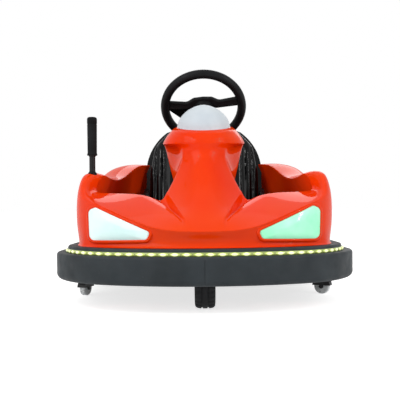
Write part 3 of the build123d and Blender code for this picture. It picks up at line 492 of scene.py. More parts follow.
def fascia(x, crease):
    """The five lowest points of a front rib: foot, panel and the crease above it."""
    line = front_plan(x)
    middle = (FOOT + crease) / 2
    return [
        (x, line + 14, FOOT),
        (x, line + 12, FOOT + 23),
        (x, line + 10, middle + 6),
        (x, line + 4, crease - 9),
        (x, line, crease),
    ]


def cowl_underside(x, edge):
    """How the cowl turns in under its rear edge."""
    return [(x, COWL_EDGE + 3, edge - 14), (x, COWL_EDGE - 45, edge - 32),
            (x, COWL_EDGE - 130, edge - 60)]


def cowl_rib(x, crease, edge_x, edge, crown=5.0):
    """A front rib from the foot, over the crease, up the cowl to its rear edge and under it."""
    start = front_plan(x)
    rib = fascia(x, crease)
    for share in COWL_SHARES:
        height = crease + (edge - crease) * share + crown * 4 * share * (1 - share)
        rib.append((x + (edge_x - x) * share, start + (COWL_EDGE - start) * share, height))
    return rib + cowl_underside(edge_x, edge)


def side_rib(setback, waist, shoulder, crest, crest_x, inner_x, inner_z, wall_x, lean=0):
    """A rib of a side pod, from its foot over its top to the floor inside the cockpit."""
    outer = BODY_HALF_WIDTH
    line = [
        (outer - 18, FOOT), (outer - 9, FOOT + 25), (outer + 1, 268), (outer + 3, 322),
        (outer - 4, waist), (outer - 12, (waist + shoulder) / 2),
        (outer - 19 - 0.3 * lean, shoulder),
        (outer - 30 - 0.8 * lean, (shoulder + 2 * crest) / 3 + 1 - 0.6 * lean),
        (outer - 52 - lean, crest - 1 - 0.5 * lean), (crest_x - 0.3 * lean, crest + 1 - 0.1 * lean),
        (inner_x, inner_z), (inner_x + 3, inner_z - 16), (wall_x, 300), (wall_x, FLOOR),
    ]
    return [(x, setback, z) for x, z in line]


def nose_ribs():
    """The middle of the front: centreline, a rib between, and the edge of the bell's face."""
    centre = [
        *fascia(0, 268), (0, 74, 277), (0, 96, 296), (0, 130, 327), (0, 162, 360), (0, 190, 391),
        (0, 210, 417),
    ]
    between = [
        *fascia(32, 268), (32, 75, 278), (33, 97, 298), (41, 134, 327), (52, 175, 357),
        (61, 212, 387), (66, 240, 413),
    ]
    edge = [
        *fascia(60, 269), (61, 80, 281), (63, 98, 303), (77, 145, 328), (96, 218, 353),
        (117, 285, 380), (134, 333, 405),
    ]
    return [centre, between, edge]


def scoop_ribs(edge):
    """The hollow beside the bell's foot, and the cowl's inner border beyond it."""
    border = [
        *fascia(84, 269.5), (83, 84, 283), (78, 114, 309), (101, 166, 327), (125, 231, 346),
        (148, 291, 362), (168, COWL_EDGE, 373), *cowl_underside(168, 373),
    ]
    depths = [0, 0, 0, 0, 0, 0, 6, 18, 30, 32, 19]
    hollow = []
    for a, b, depth in zip(edge, border, depths):
        x, setback, z = ((p + q) / 2 for p, q in zip(a, b))
        hollow.append((x, setback + depth / 2, z - depth))
    return [hollow, border]


# each pod rib's setback, the heights of its waist, shoulder and crest, the crest's x, the inner
# edge's x and height, the x of the wall below it, and how far the shoulder leans inwards
POD_RIBS = [
    (450, 400, 444, 470, 398, 364, 464, 399),
    (600, 398, 438, 460, 392, 352, 455, 388),
    (760, 400, 448, 480, 384, 336, 474, 372),
    (900, 404, 484, 529, 366, 310, 522, 351, 14),
    (1010, 406, 500, 549, 350, 288, 543, 334, 24),
]


def hump_ribs():
    """The mudguard beside the cowl: its front corner and how it rises to the pod's top."""
    corner = [
        (419, 236, FOOT), (419, 234, 229), (419, 230, 290), (417, 224, 362), (417, 222, 373),
        (416, 227, 382), (413, 246, 390), (409, 272, 397), (404, 300, 402), (399, 324, 404),
        (396, 336, 405), (399, 340, 388), (402, 343, 262), (404, 346, FLOOR),
    ]
    brow = [
        (436, 282, FOOT), (442, 279, 229), (447, 275, 290), (447, 271, 362), (446, 270, 382),
        (445, 274, 400), (440, 284, 426), (433, 297, 450), (418, 308, 461), (400, 320, 458),
        (386, 341, 443), (392, 356, 424), (402, 372, 262), (404, 380, FLOOR),
    ]
    top = [
        (453, 352, FOOT), (461, 350, 229), (470, 348, 285), (470, 346, 350), (467, 346, 392),
        (463, 347, 416), (457, 350, 446), (447, 356, 470), (430, 364, 482), (400, 374, 484),
        (373, 386, 474), (377, 390, 451), (401, 410, 262), (403, 420, FLOOR),
    ]
    return [corner, brow, top]


def rear_ribs():
    """From the hip beside the seat, round the back of the cockpit to the centreline."""
    hip = [
        (455, 1112, FOOT), (462, 1113, 232), (470, 1114, 268), (471, 1114, 322), (465, 1112, 404),
        (457, 1108, 452), (436, 1102, 496), (406, 1091, 521), (368, 1082, 538), (323, 1076, 548),
        (266, 1078, 546), (270, 1078, 528), (322, 1084, 300), (324, 1084, FLOOR),
    ]
    corner = [
        (392, 1248, FOOT), (399, 1254, 232), (405, 1259, 268), (404, 1258, 322), (396, 1246, 386),
        (384, 1226, 426), (362, 1202, 468), (330, 1178, 500), (296, 1154, 524), (256, 1132, 540),
        (212, 1112, 544), (216, 1108, 526), (300, 1108, 300), (302, 1108, FLOOR),
    ]
    flank = [
        (232, 1322, FOOT), (236, 1330, 232), (240, 1337, 268), (240, 1336, 318), (236, 1324, 372),
        (228, 1302, 408), (212, 1268, 446), (190, 1232, 482), (166, 1190, 512), (138, 1148, 534),
        (108, 1114, 541), (110, 1108, 524), (160, 1108, 300), (162, 1108, FLOOR),
    ]
    middle = [
        (0, 1350, FOOT), (0, 1359, 232), (0, 1366, 268), (0, 1365, 318), (0, 1353, 370),
        (0, 1330, 404), (0, 1292, 442), (0, 1250, 478), (0, 1204, 509), (0, 1156, 532),
        (0, 1114, 540), (0, 1108, 522), (0, 1108, 300), (0, 1108, FLOOR),
    ]
    return [hip, corner, flank, middle]


def half_ribs():
    """Ribs from the middle of the front, round the car's left side, to the middle of the rear."""
    nose = nose_ribs()
    return [
        *nose,
        *scoop_ribs(nose[2]),
        cowl_rib(150, 275, 196, 386),
        cowl_rib(215, 296, 238, 396),
        cowl_rib(300, 334, 310, 399),
        cowl_rib(372, 362, 376, 400, crown=3),
        *hump_ribs(),
        *[side_rib(*row) for row in POD_RIBS],
        *rear_ribs(),
    ]


# rows of the bell above the cowl, each from the centreline to the edge of its face
BELL_ROWS = [
    [(0, 240, 458), (58, 262, 455), (116, 333, 436)],
    [(0, 268, 503), (46, 286, 502), (93, 333, 481)],
    [(0, 287, 541), (38, 298, 541), (76, 331, 522)],
    [(0, 288, 562), (38, 295, 562), (76, 325, 562)],
    [(0, 286, 575), (44, 291, 575), (88, 318, 577)],
    [(0, 290, 592), (50, 297, 593), (88, 322, 595)],
    [(0, 302, 613), (50, 308, 614), (83, 332, 618)],
    [(0, 319, 624), (44, 326, 625), (72, 350, 632)],
    [(0, 352, 633), (34, 356, 634), (58, 372, 638)],
]

# the bell's sides and back, one row for each of the rows above, from its face's edge to the rear
SIDE_ROWS = [
    [(114, 400, 440), (112, 470, 442), (123, 518, 443), (60, 526, 444), (0, 528, 444)],
    [(98, 388, 484), (112, 460, 486), (145, 530, 486), (66, 538, 487), (0, 540, 487)],
    [(83, 380, 526), (108, 455, 529), (160, 542, 530), (72, 550, 531), (0, 552, 532)],
    [(94, 372, 570), (122, 450, 573), (170, 550, 573), (76, 558, 573), (0, 560, 574)],
    [(136, 372, 579), (156, 450, 587), (165, 556, 598), (76, 566, 604), (0, 568, 608)],
    [(130, 374, 602), (146, 452, 612), (152, 558, 626), (72, 568, 632), (0, 571, 634)],
    [(112, 384, 628), (121, 456, 643), (112, 552, 662), (60, 566, 682), (0, 570, 686)],
    [(97, 392, 640), (103, 456, 652), (92, 538, 668), (52, 552, 681), (0, 554, 683)],
    [(74, 400, 646), (79, 450, 657), (73, 512, 669), (40, 524, 674), (0, 526, 675)],
]

# below the cowl's edge the bell goes straight down to the floor
FOOT_ROWS = [
    [(134, 333, 405), (122, 400, 400), (116, 470, 400), (118, 508, 400), (58, 514, 400),
     (0, 516, 400)],
    [(130, 345, 360), (122, 400, 350), (116, 470, 350), (116, 498, 350), (58, 504, 350),
     (0, 506, 350)],
    [(126, 345, 240), (122, 400, 240), (115, 465, 240), (113, 490, 240), (56, 496, 240),
     (0, 498, 240)],
    [(126, 345, 129), (122, 400, 129), (114, 460, 129), (111, 482, 129), (55, 488, 129),
     (0, 490, 129)],
]

FLANGE_LEVEL = 213.8
FLANGE_REACH = 13.0
FLANGE_NECK = 0.6  # share of the reach where the neck stands, a little higher
NECK_RISE = 3.2
SHELL_LEVELS = 3
MIRROR_WELD = 0.0005  # metres

# places along a flanged rib, and of ribs among their list
CREASE, EDGE = 5, 11
NOSE_EDGE, BORDER, CORNER = 2, 4, 9


def flanged(ribs):
    """Gives each rib's foot a small flange that turns outwards and rests on the lip."""
    feet = [Vector(rib[0][:2]) for rib in ribs]
    done = []
    for i, rib in enumerate(ribs):
        along = feet[min(i + 1, len(feet) - 1)] - feet[max(i - 1, 0)]
        if i in (0, len(feet) - 1):
            along = Vector((along.x, 0))
        out = Vector((along.y, -along.x)).normalized()
        rim = feet[i] + out * FLANGE_REACH
        neck = feet[i] + out * FLANGE_REACH * FLANGE_NECK
        flange = [(rim.x, rim.y, FLANGE_LEVEL), (neck.x, neck.y, FLANGE_LEVEL + NECK_RISE)]
        done.append(flange + rib[1:])
    return done


def across(index, ribs):
    """The line of points at one place along several ribs or rows."""
    return [rib[index] for rib in ribs]


def make_body():
    """The whole painted shell as one smooth skin, over the four moulded solids."""
    ribs = flanged(half_ribs())
    nose, border = ribs[NOSE_EDGE], ribs[BORDER]
    cage = Cage()
    cage.patch([across(i, ribs[: BORDER + 1]) for i in range(len(nose))])
    cage.patch([across(i, ribs[BORDER:]) for i in range(len(border))])
    cage.patch([across(-1, ribs[: NOSE_EDGE + 1]), *BELL_ROWS])
    sides = [[row[-1], *side] for row, side in zip(BELL_ROWS, SIDE_ROWS)]
    cage.patch([FOOT_ROWS[0], *sides])
    cage.patch(FOOT_ROWS)

    for line, weight in (
        (across(CREASE, ribs[: CORNER + 1]), 0.85),  # the fascia's upper edge
        (across(CREASE, ribs[CORNER:]), 0.1),
        (across(EDGE, ribs[BORDER : CORNER + 2]), 0.7),  # the cowl's rear edge
        (across(EDGE, ribs[CORNER + 1 :]), 0.4),  # the cockpit's edge
        ([*nose[CREASE + 2 :], *across(-1, BELL_ROWS[:4])], 0.75),  # the bell's face
        (border[CREASE + 2 : EDGE + 1], 0.85),  # the hollows beside the bell
        (across(EDGE, ribs[NOSE_EDGE : BORDER + 1]), 0.8),
        (BELL_ROWS[4][1:], 0.2),  # the head's underside
        (sides[4], 0.5),
        ([*BELL_ROWS[6], *SIDE_ROWS[6]], 0.45),  # the head's upper edge
        (ribs[CORNER][:5], 0.35),  # the mudguard's front corner
    ):
        cage.sharpen(line, weight)

    body = link("body", cage.finish("body"), "body_shell")
    axes = (True, False, False)
    add_modifier(body, "MIRROR", use_axis=axes, use_clip=True, merge_threshold=MIRROR_WELD)
    add_modifier(body, "SUBSURF", levels=SHELL_LEVELS, render_levels=SHELL_LEVELS)
    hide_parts("front_body", "pod_left", "pod_right", "rear_shell")
    return body


# ---- bumper

LIP_INSET = 25.0
RING_HALF_WIDTH = RING_HIGH.x / MM
INNER_HALF_WIDTH = LIP_HIGH.x / MM + LIP_INSET  # the lip and the frame follow a slimmer plan
RING_FRONT_RADIUS = 850.0
RING_CORNER_RADIUS = 360.0
RING_REAR_RADIUS = 1100.0
RING_REAR_CORNER_RADIUS = 320.0
RING_STEP = 9.0
SEAM_HALF_WIDTH = 1.3
SEAM_DEPTH = 2.0


def bow_and_corner(half_width, bow, corner):
    """Half of a bowed end: (across, distance in from the end, angle) along both of its arcs."""
    centre_x = half_width - corner
    turn = math.asin(centre_x / (bow - corner))
    depth = bow - (bow - corner) * math.cos(turn)
    count = math.ceil(bow * turn / RING_STEP)
    angles = [0.0, SEAM_HALF_WIDTH / bow, 2 * SEAM_HALF_WIDTH / bow]
    angles += [turn * k / count for k in range(1, count)]
    line = [(bow * math.sin(a), bow * (1 - math.cos(a)), a) for a in angles]
    count = math.ceil(corner * (math.pi / 2 - turn) / RING_STEP)
    for k in range(count + 1):
        a = turn + (math.pi / 2 - turn) * k / count
        line.append((centre_x + corner * math.sin(a), depth - corner * math.cos(a), a))
    return line


def ring_path(half_width):
    """(across, setback, outward normal) all round the bumper, starting at the middle front."""
    front = bow_and_corner(half_width, RING_FRONT_RADIUS, RING_CORNER_RADIUS)
    rear = bow_and_corner(half_width, RING_REAR_RADIUS, RING_REAR_CORNER_RADIUS)
    half = [(x, s, math.sin(a), -math.cos(a)) for x, s, a in front]
    rear = [(x, CAR_LENGTH - s, math.sin(a), math.cos(a)) for x, s, a in rear]
    start, end = half[-1][1], rear[-1][1]
    count = math.ceil((end - start) / RING_STEP)
    half += [(half_width, start + (end - start) * k / count, 1.0, 0.0) for k in range(1, count)]
    half += reversed(rear)
    return half + [(-x, s, -nx, ns) for x, s, nx, ns in reversed(half[1:-1])]


def ring_loops(profile, half_width=INNER_HALF_WIDTH, seam=0.0):
    """A profile of (inset, height) carried round the bumper, with a seam at front and rear."""
    loops = []
    for x, s, nx, ns in ring_path(half_width):
        depth = seam if abs(x) < SEAM_HALF_WIDTH else 0.0
        loops.append([at(x - nx * (i + depth), s - ns * (i + depth), z) for i, z in profile])
    return loops


def arc_profile(x, z, radius, start, end, steps=6):
    """Points of a quarter round in a profile, angles in degrees from outwards to upwards."""
    angles = [math.radians(start + (end - start) * k / steps) for k in range(steps + 1)]
    return [(x - radius * math.cos(a), z + radius * math.sin(a)) for a in angles]


# (inset, height) round the sections of the ring, the lip on it and the lamp band under the lip
RING_SECTION = [
    *arc_profile(20, 115, 20, -90, 0), (0.4, 128), (0, 142), (0, 160),
    *arc_profile(10, 180, 10, 0, 90), (30, 190), (88, 190), (88, 95),
]
LIP_SECTION = [
    (25, 190), (25, 207), *arc_profile(31, 207, 6, 0, 90, 5), (56, 213), (73, 212), (75, 210),
    (75, 190),
]
BAND_SECTION = [(25, 190.5), (21.5, 190.5), (20.3, 193), (20.3, 200), (21.5, 203), (25, 203)]


def make_bumper():
    """The ring and the raised lip on it, each a smooth skin of its own."""
    ring = ring_loops(RING_SECTION, RING_HALF_WIDTH, SEAM_DEPTH)
    skin("bumper", ring, "bumper_rubber", wrap=True)
    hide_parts("bumper_ring")
    skin("bumper_lip_skin", ring_loops(LIP_SECTION), "bumper_rubber", wrap=True)
    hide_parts("bumper_lip")


# ---- band of small lamps under the lip

LED_PITCH = 38.0
LED_INSET = 20.0
LED_LEVEL = 196.5
LED_POINT = 1.25  # 1 makes a capsule an ellipse, and more makes it more pointed
LED_SIDES = 14
# half of a capsule's width and height, and each loop's share of them and distance outwards
LED_HALO = (17.0, 5.9, ((1.0, -1.5), (1.0, 0.4), (0.8, 1.3), (0.4, 1.8)))
LED_CORE = (11.0, 4.9, ((1.0, 0.0), (0.95, 2.0), (0.7, 3.2), (0.35, 3.7)))


def stations(line, pitch):
    """Evenly spaced pairs of a place and a normal, on a closed line of such pairs."""
    spans = [(b[0] - a[0]).length for a, b in zip(line, line[1:] + line[:1])]
    total = sum(spans)
    count = round(total / pitch)
    found = []
    walked, k = 0.0, 0
    for i in range(count):
        target = (i + 0.5) * total / count
        while walked + spans[k] < target:
            walked += spans[k]
            k += 1
        share = (target - walked) / spans[k]
        start, end = line[k], line[(k + 1) % len(line)]
        place, normal = (a.lerp(b, share) for a, b in zip(start, end))
        found.append((place, normal.normalized()))
    return found


def capsule(place, normal, shape):
    """Loops of one lit capsule on the band."""
    wide, tall, levels = shape
    middle = at(place.x, place.y, LED_LEVEL)
    out = Vector((normal.x, normal.y, 0))
    along = Vector((-normal.y, normal.x, 0))
    up = Vector((0, 0, 1))
    loops = []
    for share, height in levels:
        loop = []
        for angle in full_turn(LED_SIDES):
            sway, rise = (
                math.copysign(abs(value) ** LED_POINT, value)
                for value in (math.cos(angle), math.sin(angle))
            )
            offset = along * (wide * share * sway) + up * (tall * share * rise)
            loop.append(middle + (offset + out * height) * MM)
        loops.append(loop)
    return loops


def make_led_band():
    """A translucent band in the groove under the lip, and the lit capsules along it."""
    skin("led_band", ring_loops(BAND_SECTION), "led", wrap=True)
    line = [
        (Vector((x - nx * LED_INSET, s - ns * LED_INSET)), Vector((nx, ns)))
        for x, s, nx, ns in ring_path(INNER_HALF_WIDTH)
    ]
    places = stations(line, LED_PITCH)
    for name, finish, shape in (
        ("led_halos", "led_halo", LED_HALO),
        ("led_cores", "led_core", LED_CORE),
    ):
        mesh = skin_mesh(name, [capsule(*place, shape) for place in places])
        link(name, mesh, "led", finish=finish)
    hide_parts("led_strip")


# ---- lamps

# across, height and rounding of the headlamp's corners, on the car's left
LAMP_CORNERS = [(370, 349, 14), (399, 339, 18), (395, 237, 20), (190, 242, 12), (179, 266, 9)]
LAMP_MIDDLE = Vector((322, 280))
LAMP_FACE = 5.5  # how far the lens's border lies behind the body's widest plan
LAMP_STEP = 9.0
LENS_SKIRT = [(-0.5, -4.0), (0.5, 0.0)]  # how far outwards, how proud of the face
LENS_BULGE = 8.0
LENS_SHARES = (0.03, 0.08, 0.16, 0.28, 0.42, 0.58, 0.74, 0.88)  # from the border inwards
# the section of the body's rim round a headlamp, in the same two measures
LAMP_RIM = [(-1.0, -5.0), (0.0, -1.5), (1.0, 1.2), (3.0, 2.6), (6.0, 2.9), (9.0, 1.4),
            (11.0, -2.0), (12.0, -6.0), (6.0, -7.0)]
# (radius, height above the body)
TAIL_GLASS = [(28.5, -6), (28.5, 2), (27.5, 4.5), (24, 7), (18, 9), (10, 10.4), (4, 10.9)]
TAIL_RING = [(28, -6), (28, 3), (29.5, 5), (32, 5), (34, 3), (35, -3), (34, -8)]


def lamp_loop(side, outline, out):
    """An outline laid on the body's front, at a distance outwards from the lamp's face."""
    loop = []
    for p in outline:
        x = abs(p.x)
        loop.append(at(side * x, front_plan(x) + LAMP_FACE - out, p.y))
    return loop


def make_headlamps():
    """Two bulging lenses, each in a rim that belongs to the body."""
    corners = rounded(LAMP_CORNERS, steps=7)
    outline = []
    for a, b in zip(corners, corners[1:] + corners[:1]):
        count = max(1, round((b - a).length / LAMP_STEP))
        outline += [a.lerp(b, k / count) for k in range(count)]
    for name, side in SIDES:
        lens_loops = [lamp_loop(side, widened(outline, grow), out) for grow, out in LENS_SKIRT]
        for share in LENS_SHARES:
            out = LENS_BULGE * (1 - (1 - share) ** 3)
            inner = [p.lerp(LAMP_MIDDLE, share) for p in outline]
            lens_loops.append(lamp_loop(side, inner, out))
        slot = "lens_mint" if side > 0 else "lens_white"
        lens_piece = skin(f"lens_{name}", lens_loops, slot)
        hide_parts(f"headlamp_{name}")
        rim = [lamp_loop(side, widened(outline, grow), out) for grow, out in LAMP_RIM]
        skin(f"lens_rim_{name}", rim, "body_shell", wrap=True)


def surface_hit(body, origin, direction):
    """Where a ray meets the dressed body, and the outward normal there."""
    _, place, normal, _ = evaluated(body).ray_cast(origin, direction)
    return place, normal if normal.dot(direction) < 0 else -normal


def make_tail_lamps(body):
    """Two small round lamps, set square on the rear shell where it stands at their height."""
    low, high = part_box("tail_lamp_left")
    centre_x = (low.x + high.x) / 2
    level = (low.z + high.z) / 2
    for name, side in SIDES:
        start = Vector((side * centre_x, CAR_REAR, level))
        place, normal = surface_hit(body, start, Vector((0, -1, 0)))
        mount = aimed(place, normal)
        glass_piece = lathe(f"tail_glass_{name}", TAIL_GLASS, "lens_red", place=mount)
        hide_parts(f"tail_lamp_{name}")
        lathe(f"tail_ring_{name}", TAIL_RING, "bright_steel", place=mount, wrap=True)


DOME_PLACE = (0, 420, 651)
DOME_RADIUS = 98.0
DOME_HEIGHT = 79.0
DOME_TILT = 15.5
DOME_FULLNESS = 1.72  # 2 is an ellipse, and less is more pointed
DOME_FOOT = [(90, -3), (98.5, -3), (99.5, -1.5), (99.5, 0.5), (98.4, 2)]
DOME_STEPS = 20


def make_dome():
    """The milky lamp on the nose: a short foot, and a dome that leans back with the head."""
    tilt = Matrix.Rotation(math.radians(DOME_TILT), 4, "X")
    place = Matrix.Translation(at(*DOME_PLACE)) @ tilt
    profile = [*DOME_FOOT]
    for k in range(1, DOME_STEPS):
        rise = math.sin(math.pi / 2 * k / DOME_STEPS)
        reach = (1 - rise**DOME_FULLNESS) ** (1 / DOME_FULLNESS)
        profile.append((DOME_RADIUS * reach, 2 + (DOME_HEIGHT - 2) * rise))
    dome = lathe("dome", profile, "dome_white", place=place, segments=72)
    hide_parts("dome_lamp")


# ---- steering wheel

RIM_RADIUS = 158.0
RIM_TUBE_RADIUS = 18.0
RIM_SEGMENTS = 120
RIM_SIDES = 24
RIM_SEAM = 0.9  # depth of the moulding seam round the inside of the rim
WHEEL_TURN = -4.0
# (x, y, rounding) on the driver's right, and of the spoke that points down
SPOKE_SIDE = [(150, 43, 3), (66, 31, 26), (38, 48, 16)]
SPOKE_DOWN = [(-150, 3, 3), (-46, -4, 16), (-24, -34, 24), (-18, -150, 3)]
WHEEL_PAD = [(52, 24, 12), (31, 39, 14), (-31, 39, 14), (-52, 24, 12), (-42, -6, 14),
             (-20, -34, 16), (20, -34, 16), (42, -6, 14)]
# (how far outwards, height)
SPOKE_LEVELS = [(-6, -9), (-2.5, -8), (-0.8, -5.5), (0, -2), (0, 2), (-0.8, 5.5), (-2.5, 8),
                (-6, 9)]
WHEEL_PAD_LEVELS = [(0, 6), (0, 13), (-1.5, 16), (-5, 18.5), (-12, 20), (-20, 20.6)]
WHEEL_BOSS = [(30, -34), (34, -32), (36, -28), (38, -12), (44, -7)]  # (radius, height)


def mirrored(corners):
    """The same corners on the other side, in reverse order."""
    return [(-x, y, radius) for x, y, radius in reversed(corners)]


def make_steering_wheel():
    """The rim with its seam, three spokes in one piece, the padded cap and the boss."""
    joint = joint_named("steering_turn")
    # the wheel's own X axis points to the driver's right and its Y axis up
    place = aimed(Vector(joint["pos_m"]), joint["axis"], across=(-1, 0, 0))
    place = place @ Matrix.Rotation(math.radians(WHEEL_TURN), 4, "Z")
    section = []
    for i, turn in enumerate(full_turn(RIM_SIDES)):
        tube = RIM_TUBE_RADIUS - (RIM_SEAM if i == RIM_SIDES // 2 else 0.0)
        section.append((RIM_RADIUS + tube * math.cos(turn), tube * math.sin(turn)))
    loops = [
        [(r * math.cos(a) * MM, r * math.sin(a) * MM, z * MM) for r, z in section]
        for a in full_turn(RIM_SEGMENTS)
    ]
    rim = skin("wheel_rim", loops, "wheel_grip", "steering", wrap=True, place=place)
    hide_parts("steering_wheel")

    outline = [*SPOKE_SIDE, (0, 51, 90), *mirrored(SPOKE_SIDE), *SPOKE_DOWN]
    spokes = rounded([*outline, *mirrored(SPOKE_DOWN)], steps=6)
    loops = flat_pad(spokes, SPOKE_LEVELS)
    skin("wheel_spokes", loops, "wheel_grip", "steering", caps="flat", place=place)
    loops = flat_pad(rounded(WHEEL_PAD), WHEEL_PAD_LEVELS)
    skin("wheel_pad", loops, "wheel_grip", "steering", place=place)
    lathe("wheel_boss", WHEEL_BOSS, "wheel_grip", "steering", place=place)


# ---- seat

SEAT_LEAN = 14.0
SEAT_FOOT = at(0, 955, 262)
CHANNEL_WIDTH = 44.0
CHANNEL_SHAPE = 0.55  # less makes the rolls between the seams broader and flatter
PAD_VOXEL = 0.008  # metres
PAD_PRESSURE = 4
PAD_FRAMES = 20
PAD_SWELL_LIMIT = 0.009  # metres
PAD_CROWN = 3.0
CROWN_SHARES = (0.25, 0.5, 0.75, 0.93)  # of the way in from the border
BOLSTER_START = 168
BOLSTER_SLOPE = 40
BACK_CHANNEL = 11.0  # depths of the channels, heights of the bolsters, and the base's fall
BACK_BOLSTER = 8.0
BASE_CHANNEL = 10.0
BASE_BOLSTER = 7.0
BASE_FALL = 8.0
# the back pad's corners (x, y, rounding) from the foot's middle, seen square on
BACK_SIDE = [(262, 4, 20), (261, 262, 120), (236, 392, 90), (170, 464, 90), (70, 494, 200)]
# (how far outwards, height) of each pad's loops
BACK_LEVELS = [(-16, -50), (-6, -49), (-1, -44), (0, -34), (0, -20), (-3, -11), (-10, -5),
               (-20, -2)]
BASE_LEVELS = [(-12, 2), (-4, 3), (0, 9), (1, 24), (-2, 38), (-9, 47), (-20, 51)]


def freeze(piece):
    """Turns what the modifiers make of a piece into its own mesh."""
    mesh = bpy.data.meshes.new_from_object(evaluated(piece))
    materials = list(piece.data.materials)
    piece.modifiers.clear()
    piece.data = mesh
    if not mesh.materials:
        for material in materials:
            mesh.materials.append(material)
    for polygon in mesh.polygons:
        polygon.use_smooth = True


def inflate(pad):
    """Swells a closed pad under pressure and keeps the result, within a limit."""
    add_modifier(pad, "REMESH", mode="VOXEL", voxel_size=PAD_VOXEL)
    freeze(pad)
    before = [v.co.copy() for v in pad.data.vertices]
    settings = pad.modifiers.new("cloth", "CLOTH").settings
    settings.use_pressure = True
    settings.uniform_pressure_force = PAD_PRESSURE
    settings.effector_weights.gravity = 0
    for number in range(1, PAD_FRAMES + 1):
        bpy.context.scene.frame_set(number)
    freeze(pad)
    for vertex, start in zip(pad.data.vertices, before):
        move = vertex.co - start
        if move.length > PAD_SWELL_LIMIT:
            vertex.co = start + move.normalized() * PAD_SWELL_LIMIT
    bpy.context.scene.frame_set(1)


def crowned(loops, rise):
    """Adds loops that close a pad's top in towards its middle, a little higher there."""
    last = [Vector(p) for p in loops[-1]]
    middle = sum(last, Vector()) / len(last)
    for share in CROWN_SHARES:
        lift = Vector((0, 0, rise * MM * share * (2 - share)))
        loops.append([p.lerp(middle, share) + lift for p in last])
    return loops


def swollen_pad(name, outline, levels, place):
    """A pad of the given outline, still without its channels and bolsters."""
    loops = crowned(flat_pad(outline, levels), PAD_CROWN)
    pad = skin(name, loops, "seat_vinyl", place=place)
    inflate(pad)
    add_modifier(pad, "SUBSURF", levels=1, render_levels=1)
    freeze(pad)
    return pad


def channel(x):
    """1 in a sewn channel, falling to 0 on the roll between two of them."""
    return 1 - abs(math.sin(math.pi * x / CHANNEL_WIDTH)) ** CHANNEL_SHAPE


def bolster(x):
    """0 on the middle of a pad, rising to 1 on its sides."""
    return clamped((abs(x) - BOLSTER_START) / BOLSTER_SLOPE)


def make_back_pad():
    """The back pad, with upright channels that fade out towards its border."""
    lean = math.radians(SEAT_LEAN)
    normal = Vector((0, -math.cos(lean), math.sin(lean)))
    place = aimed(SEAT_FOOT, normal)
    outline = rounded([*BACK_SIDE, *mirrored(BACK_SIDE)], steps=6)
    pad = swollen_pad("seat_back", outline, BACK_LEVELS, place)
    inverse = place.inverted()
    for vertex in pad.data.vertices:
        x, y, z = (c / MM for c in inverse @ vertex.co)
        facing = clamped((z + 24) / 14)
        fade = clamped((y - 18) / 30) * clamped((262 - abs(x)) / 26)
        top = 488 - 0.0016 * x * x
        fade *= clamped((top - y) / 46)
        press = BACK_CHANNEL * channel(x) * fade
        vertex.co += normal * ((BACK_BOLSTER * bolster(x) * fade - press) * facing * MM)
    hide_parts("seat_back_pad")


def make_base_pad():
    """The base pad, with channels fore and aft, falling towards the back."""
    low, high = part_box("seat_base_pad")
    half = (high.x - low.x) / 2 / MM
    middle = Vector((0, (low.y + high.y) / 2, low.z))
    depth = (high.y - low.y) / 2 / MM
    rear = [(half - 4, depth - 3, 24), (-half + 4, depth - 3, 24)]
    front = [(-half + 4, -depth + 3, 34), (half - 4, -depth + 3, 34)]
    outline = rounded(rear + front, steps=6)
    pad = swollen_pad("seat_base", outline, BASE_LEVELS, Matrix.Translation(middle))
    for vertex in pad.data.vertices:
        x, y, z = ((vertex.co - middle) / MM)[:]
        facing = clamped((z - 30) / 16)
        fade = clamped((half - abs(x)) / 22) * clamped((depth - y) / 30)
        fall = BASE_FALL * clamped((y + 20) / depth)
        press = BASE_CHANNEL * channel(x) * fade
        vertex.co.z += (BASE_BOLSTER * bolster(x) * fade - press - fall) * facing * MM
    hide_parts("seat_base_pad")


# ---- wheels and controls

TREAD_BLOCKS = 30
TREAD_DEPTH = 2.6
TREAD_START = 13  # how far from the middle the blocks begin
TREAD_RADIUS = 92
# half of the tyre's section (radius, distance from its middle), from the inside out
TYRE_SIDE = [(66.5, 30), (72, 33.5), (84, 35), (91, 34), (95.5, 30.5), (98, 25.5), (99.4, 18),
             (99.7, 13.6), (96.2, 12.2), (96.2, 8.8), (99.8, 7.4), (100, 2)]


def make_tyre():
    """A solid tyre with a groove each side of a plain middle rib, cut across into blocks."""
    low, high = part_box("drive_tyre")
    middle = (low + high) / 2
    place = Matrix.Translation(middle) @ Matrix.Rotation(math.radians(90), 4, "Y")
    loops = []
    for r, h in [(r, -h) for r, h in TYRE_SIDE] + TYRE_SIDE[::-1]:
        cut = TREAD_DEPTH if abs(h) > TREAD_START and r > TREAD_RADIUS else 0.0
        loop = []
        for k, angle in enumerate(full_turn(TREAD_BLOCKS * 6)):
            reach = (r - (cut if k % 6 < 2 else 0.0)) * MM
            loop.append((reach * math.cos(angle), reach * math.sin(angle), h * MM))
        loops.append(loop)
    tyre = skin("tyre", loops, "tyre_rubber", "drive_wheel", wrap=True, place=place)
    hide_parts("drive_tyre")


PLATE_THICKNESS = 8
CASTOR_HOLES = [(-27, -22), (-27, 22), (27, -22), (27, 22)]
# width across the flats and height of a head; radius and height of a washer
CASTOR_BOLT, CASTOR_WASHER = (8, 5.5), (6.2, 1.4)
AXLE_NUT, AXLE_WASHER = (19, 8), (15, 1.6)


def turned(levels, segments, place):
    """Loops of a small turned or six-sided piece from its (radius, height) levels."""
    return [
        [place @ Vector(p) for p in circle(r * MM, h * MM, segments)] for r, h in levels
    ]


def hexagon_head(across_flats, height, place):
    """Loops of a hexagonal head with a chamfered top, lying on its washer."""
    radius = across_flats / math.sqrt(3)
    levels = [(1.0, 1.0), (1.0, height - 1), (0.9, height), (0.55, height)]
    return turned([(radius * share, level) for share, level in levels], 6, place)


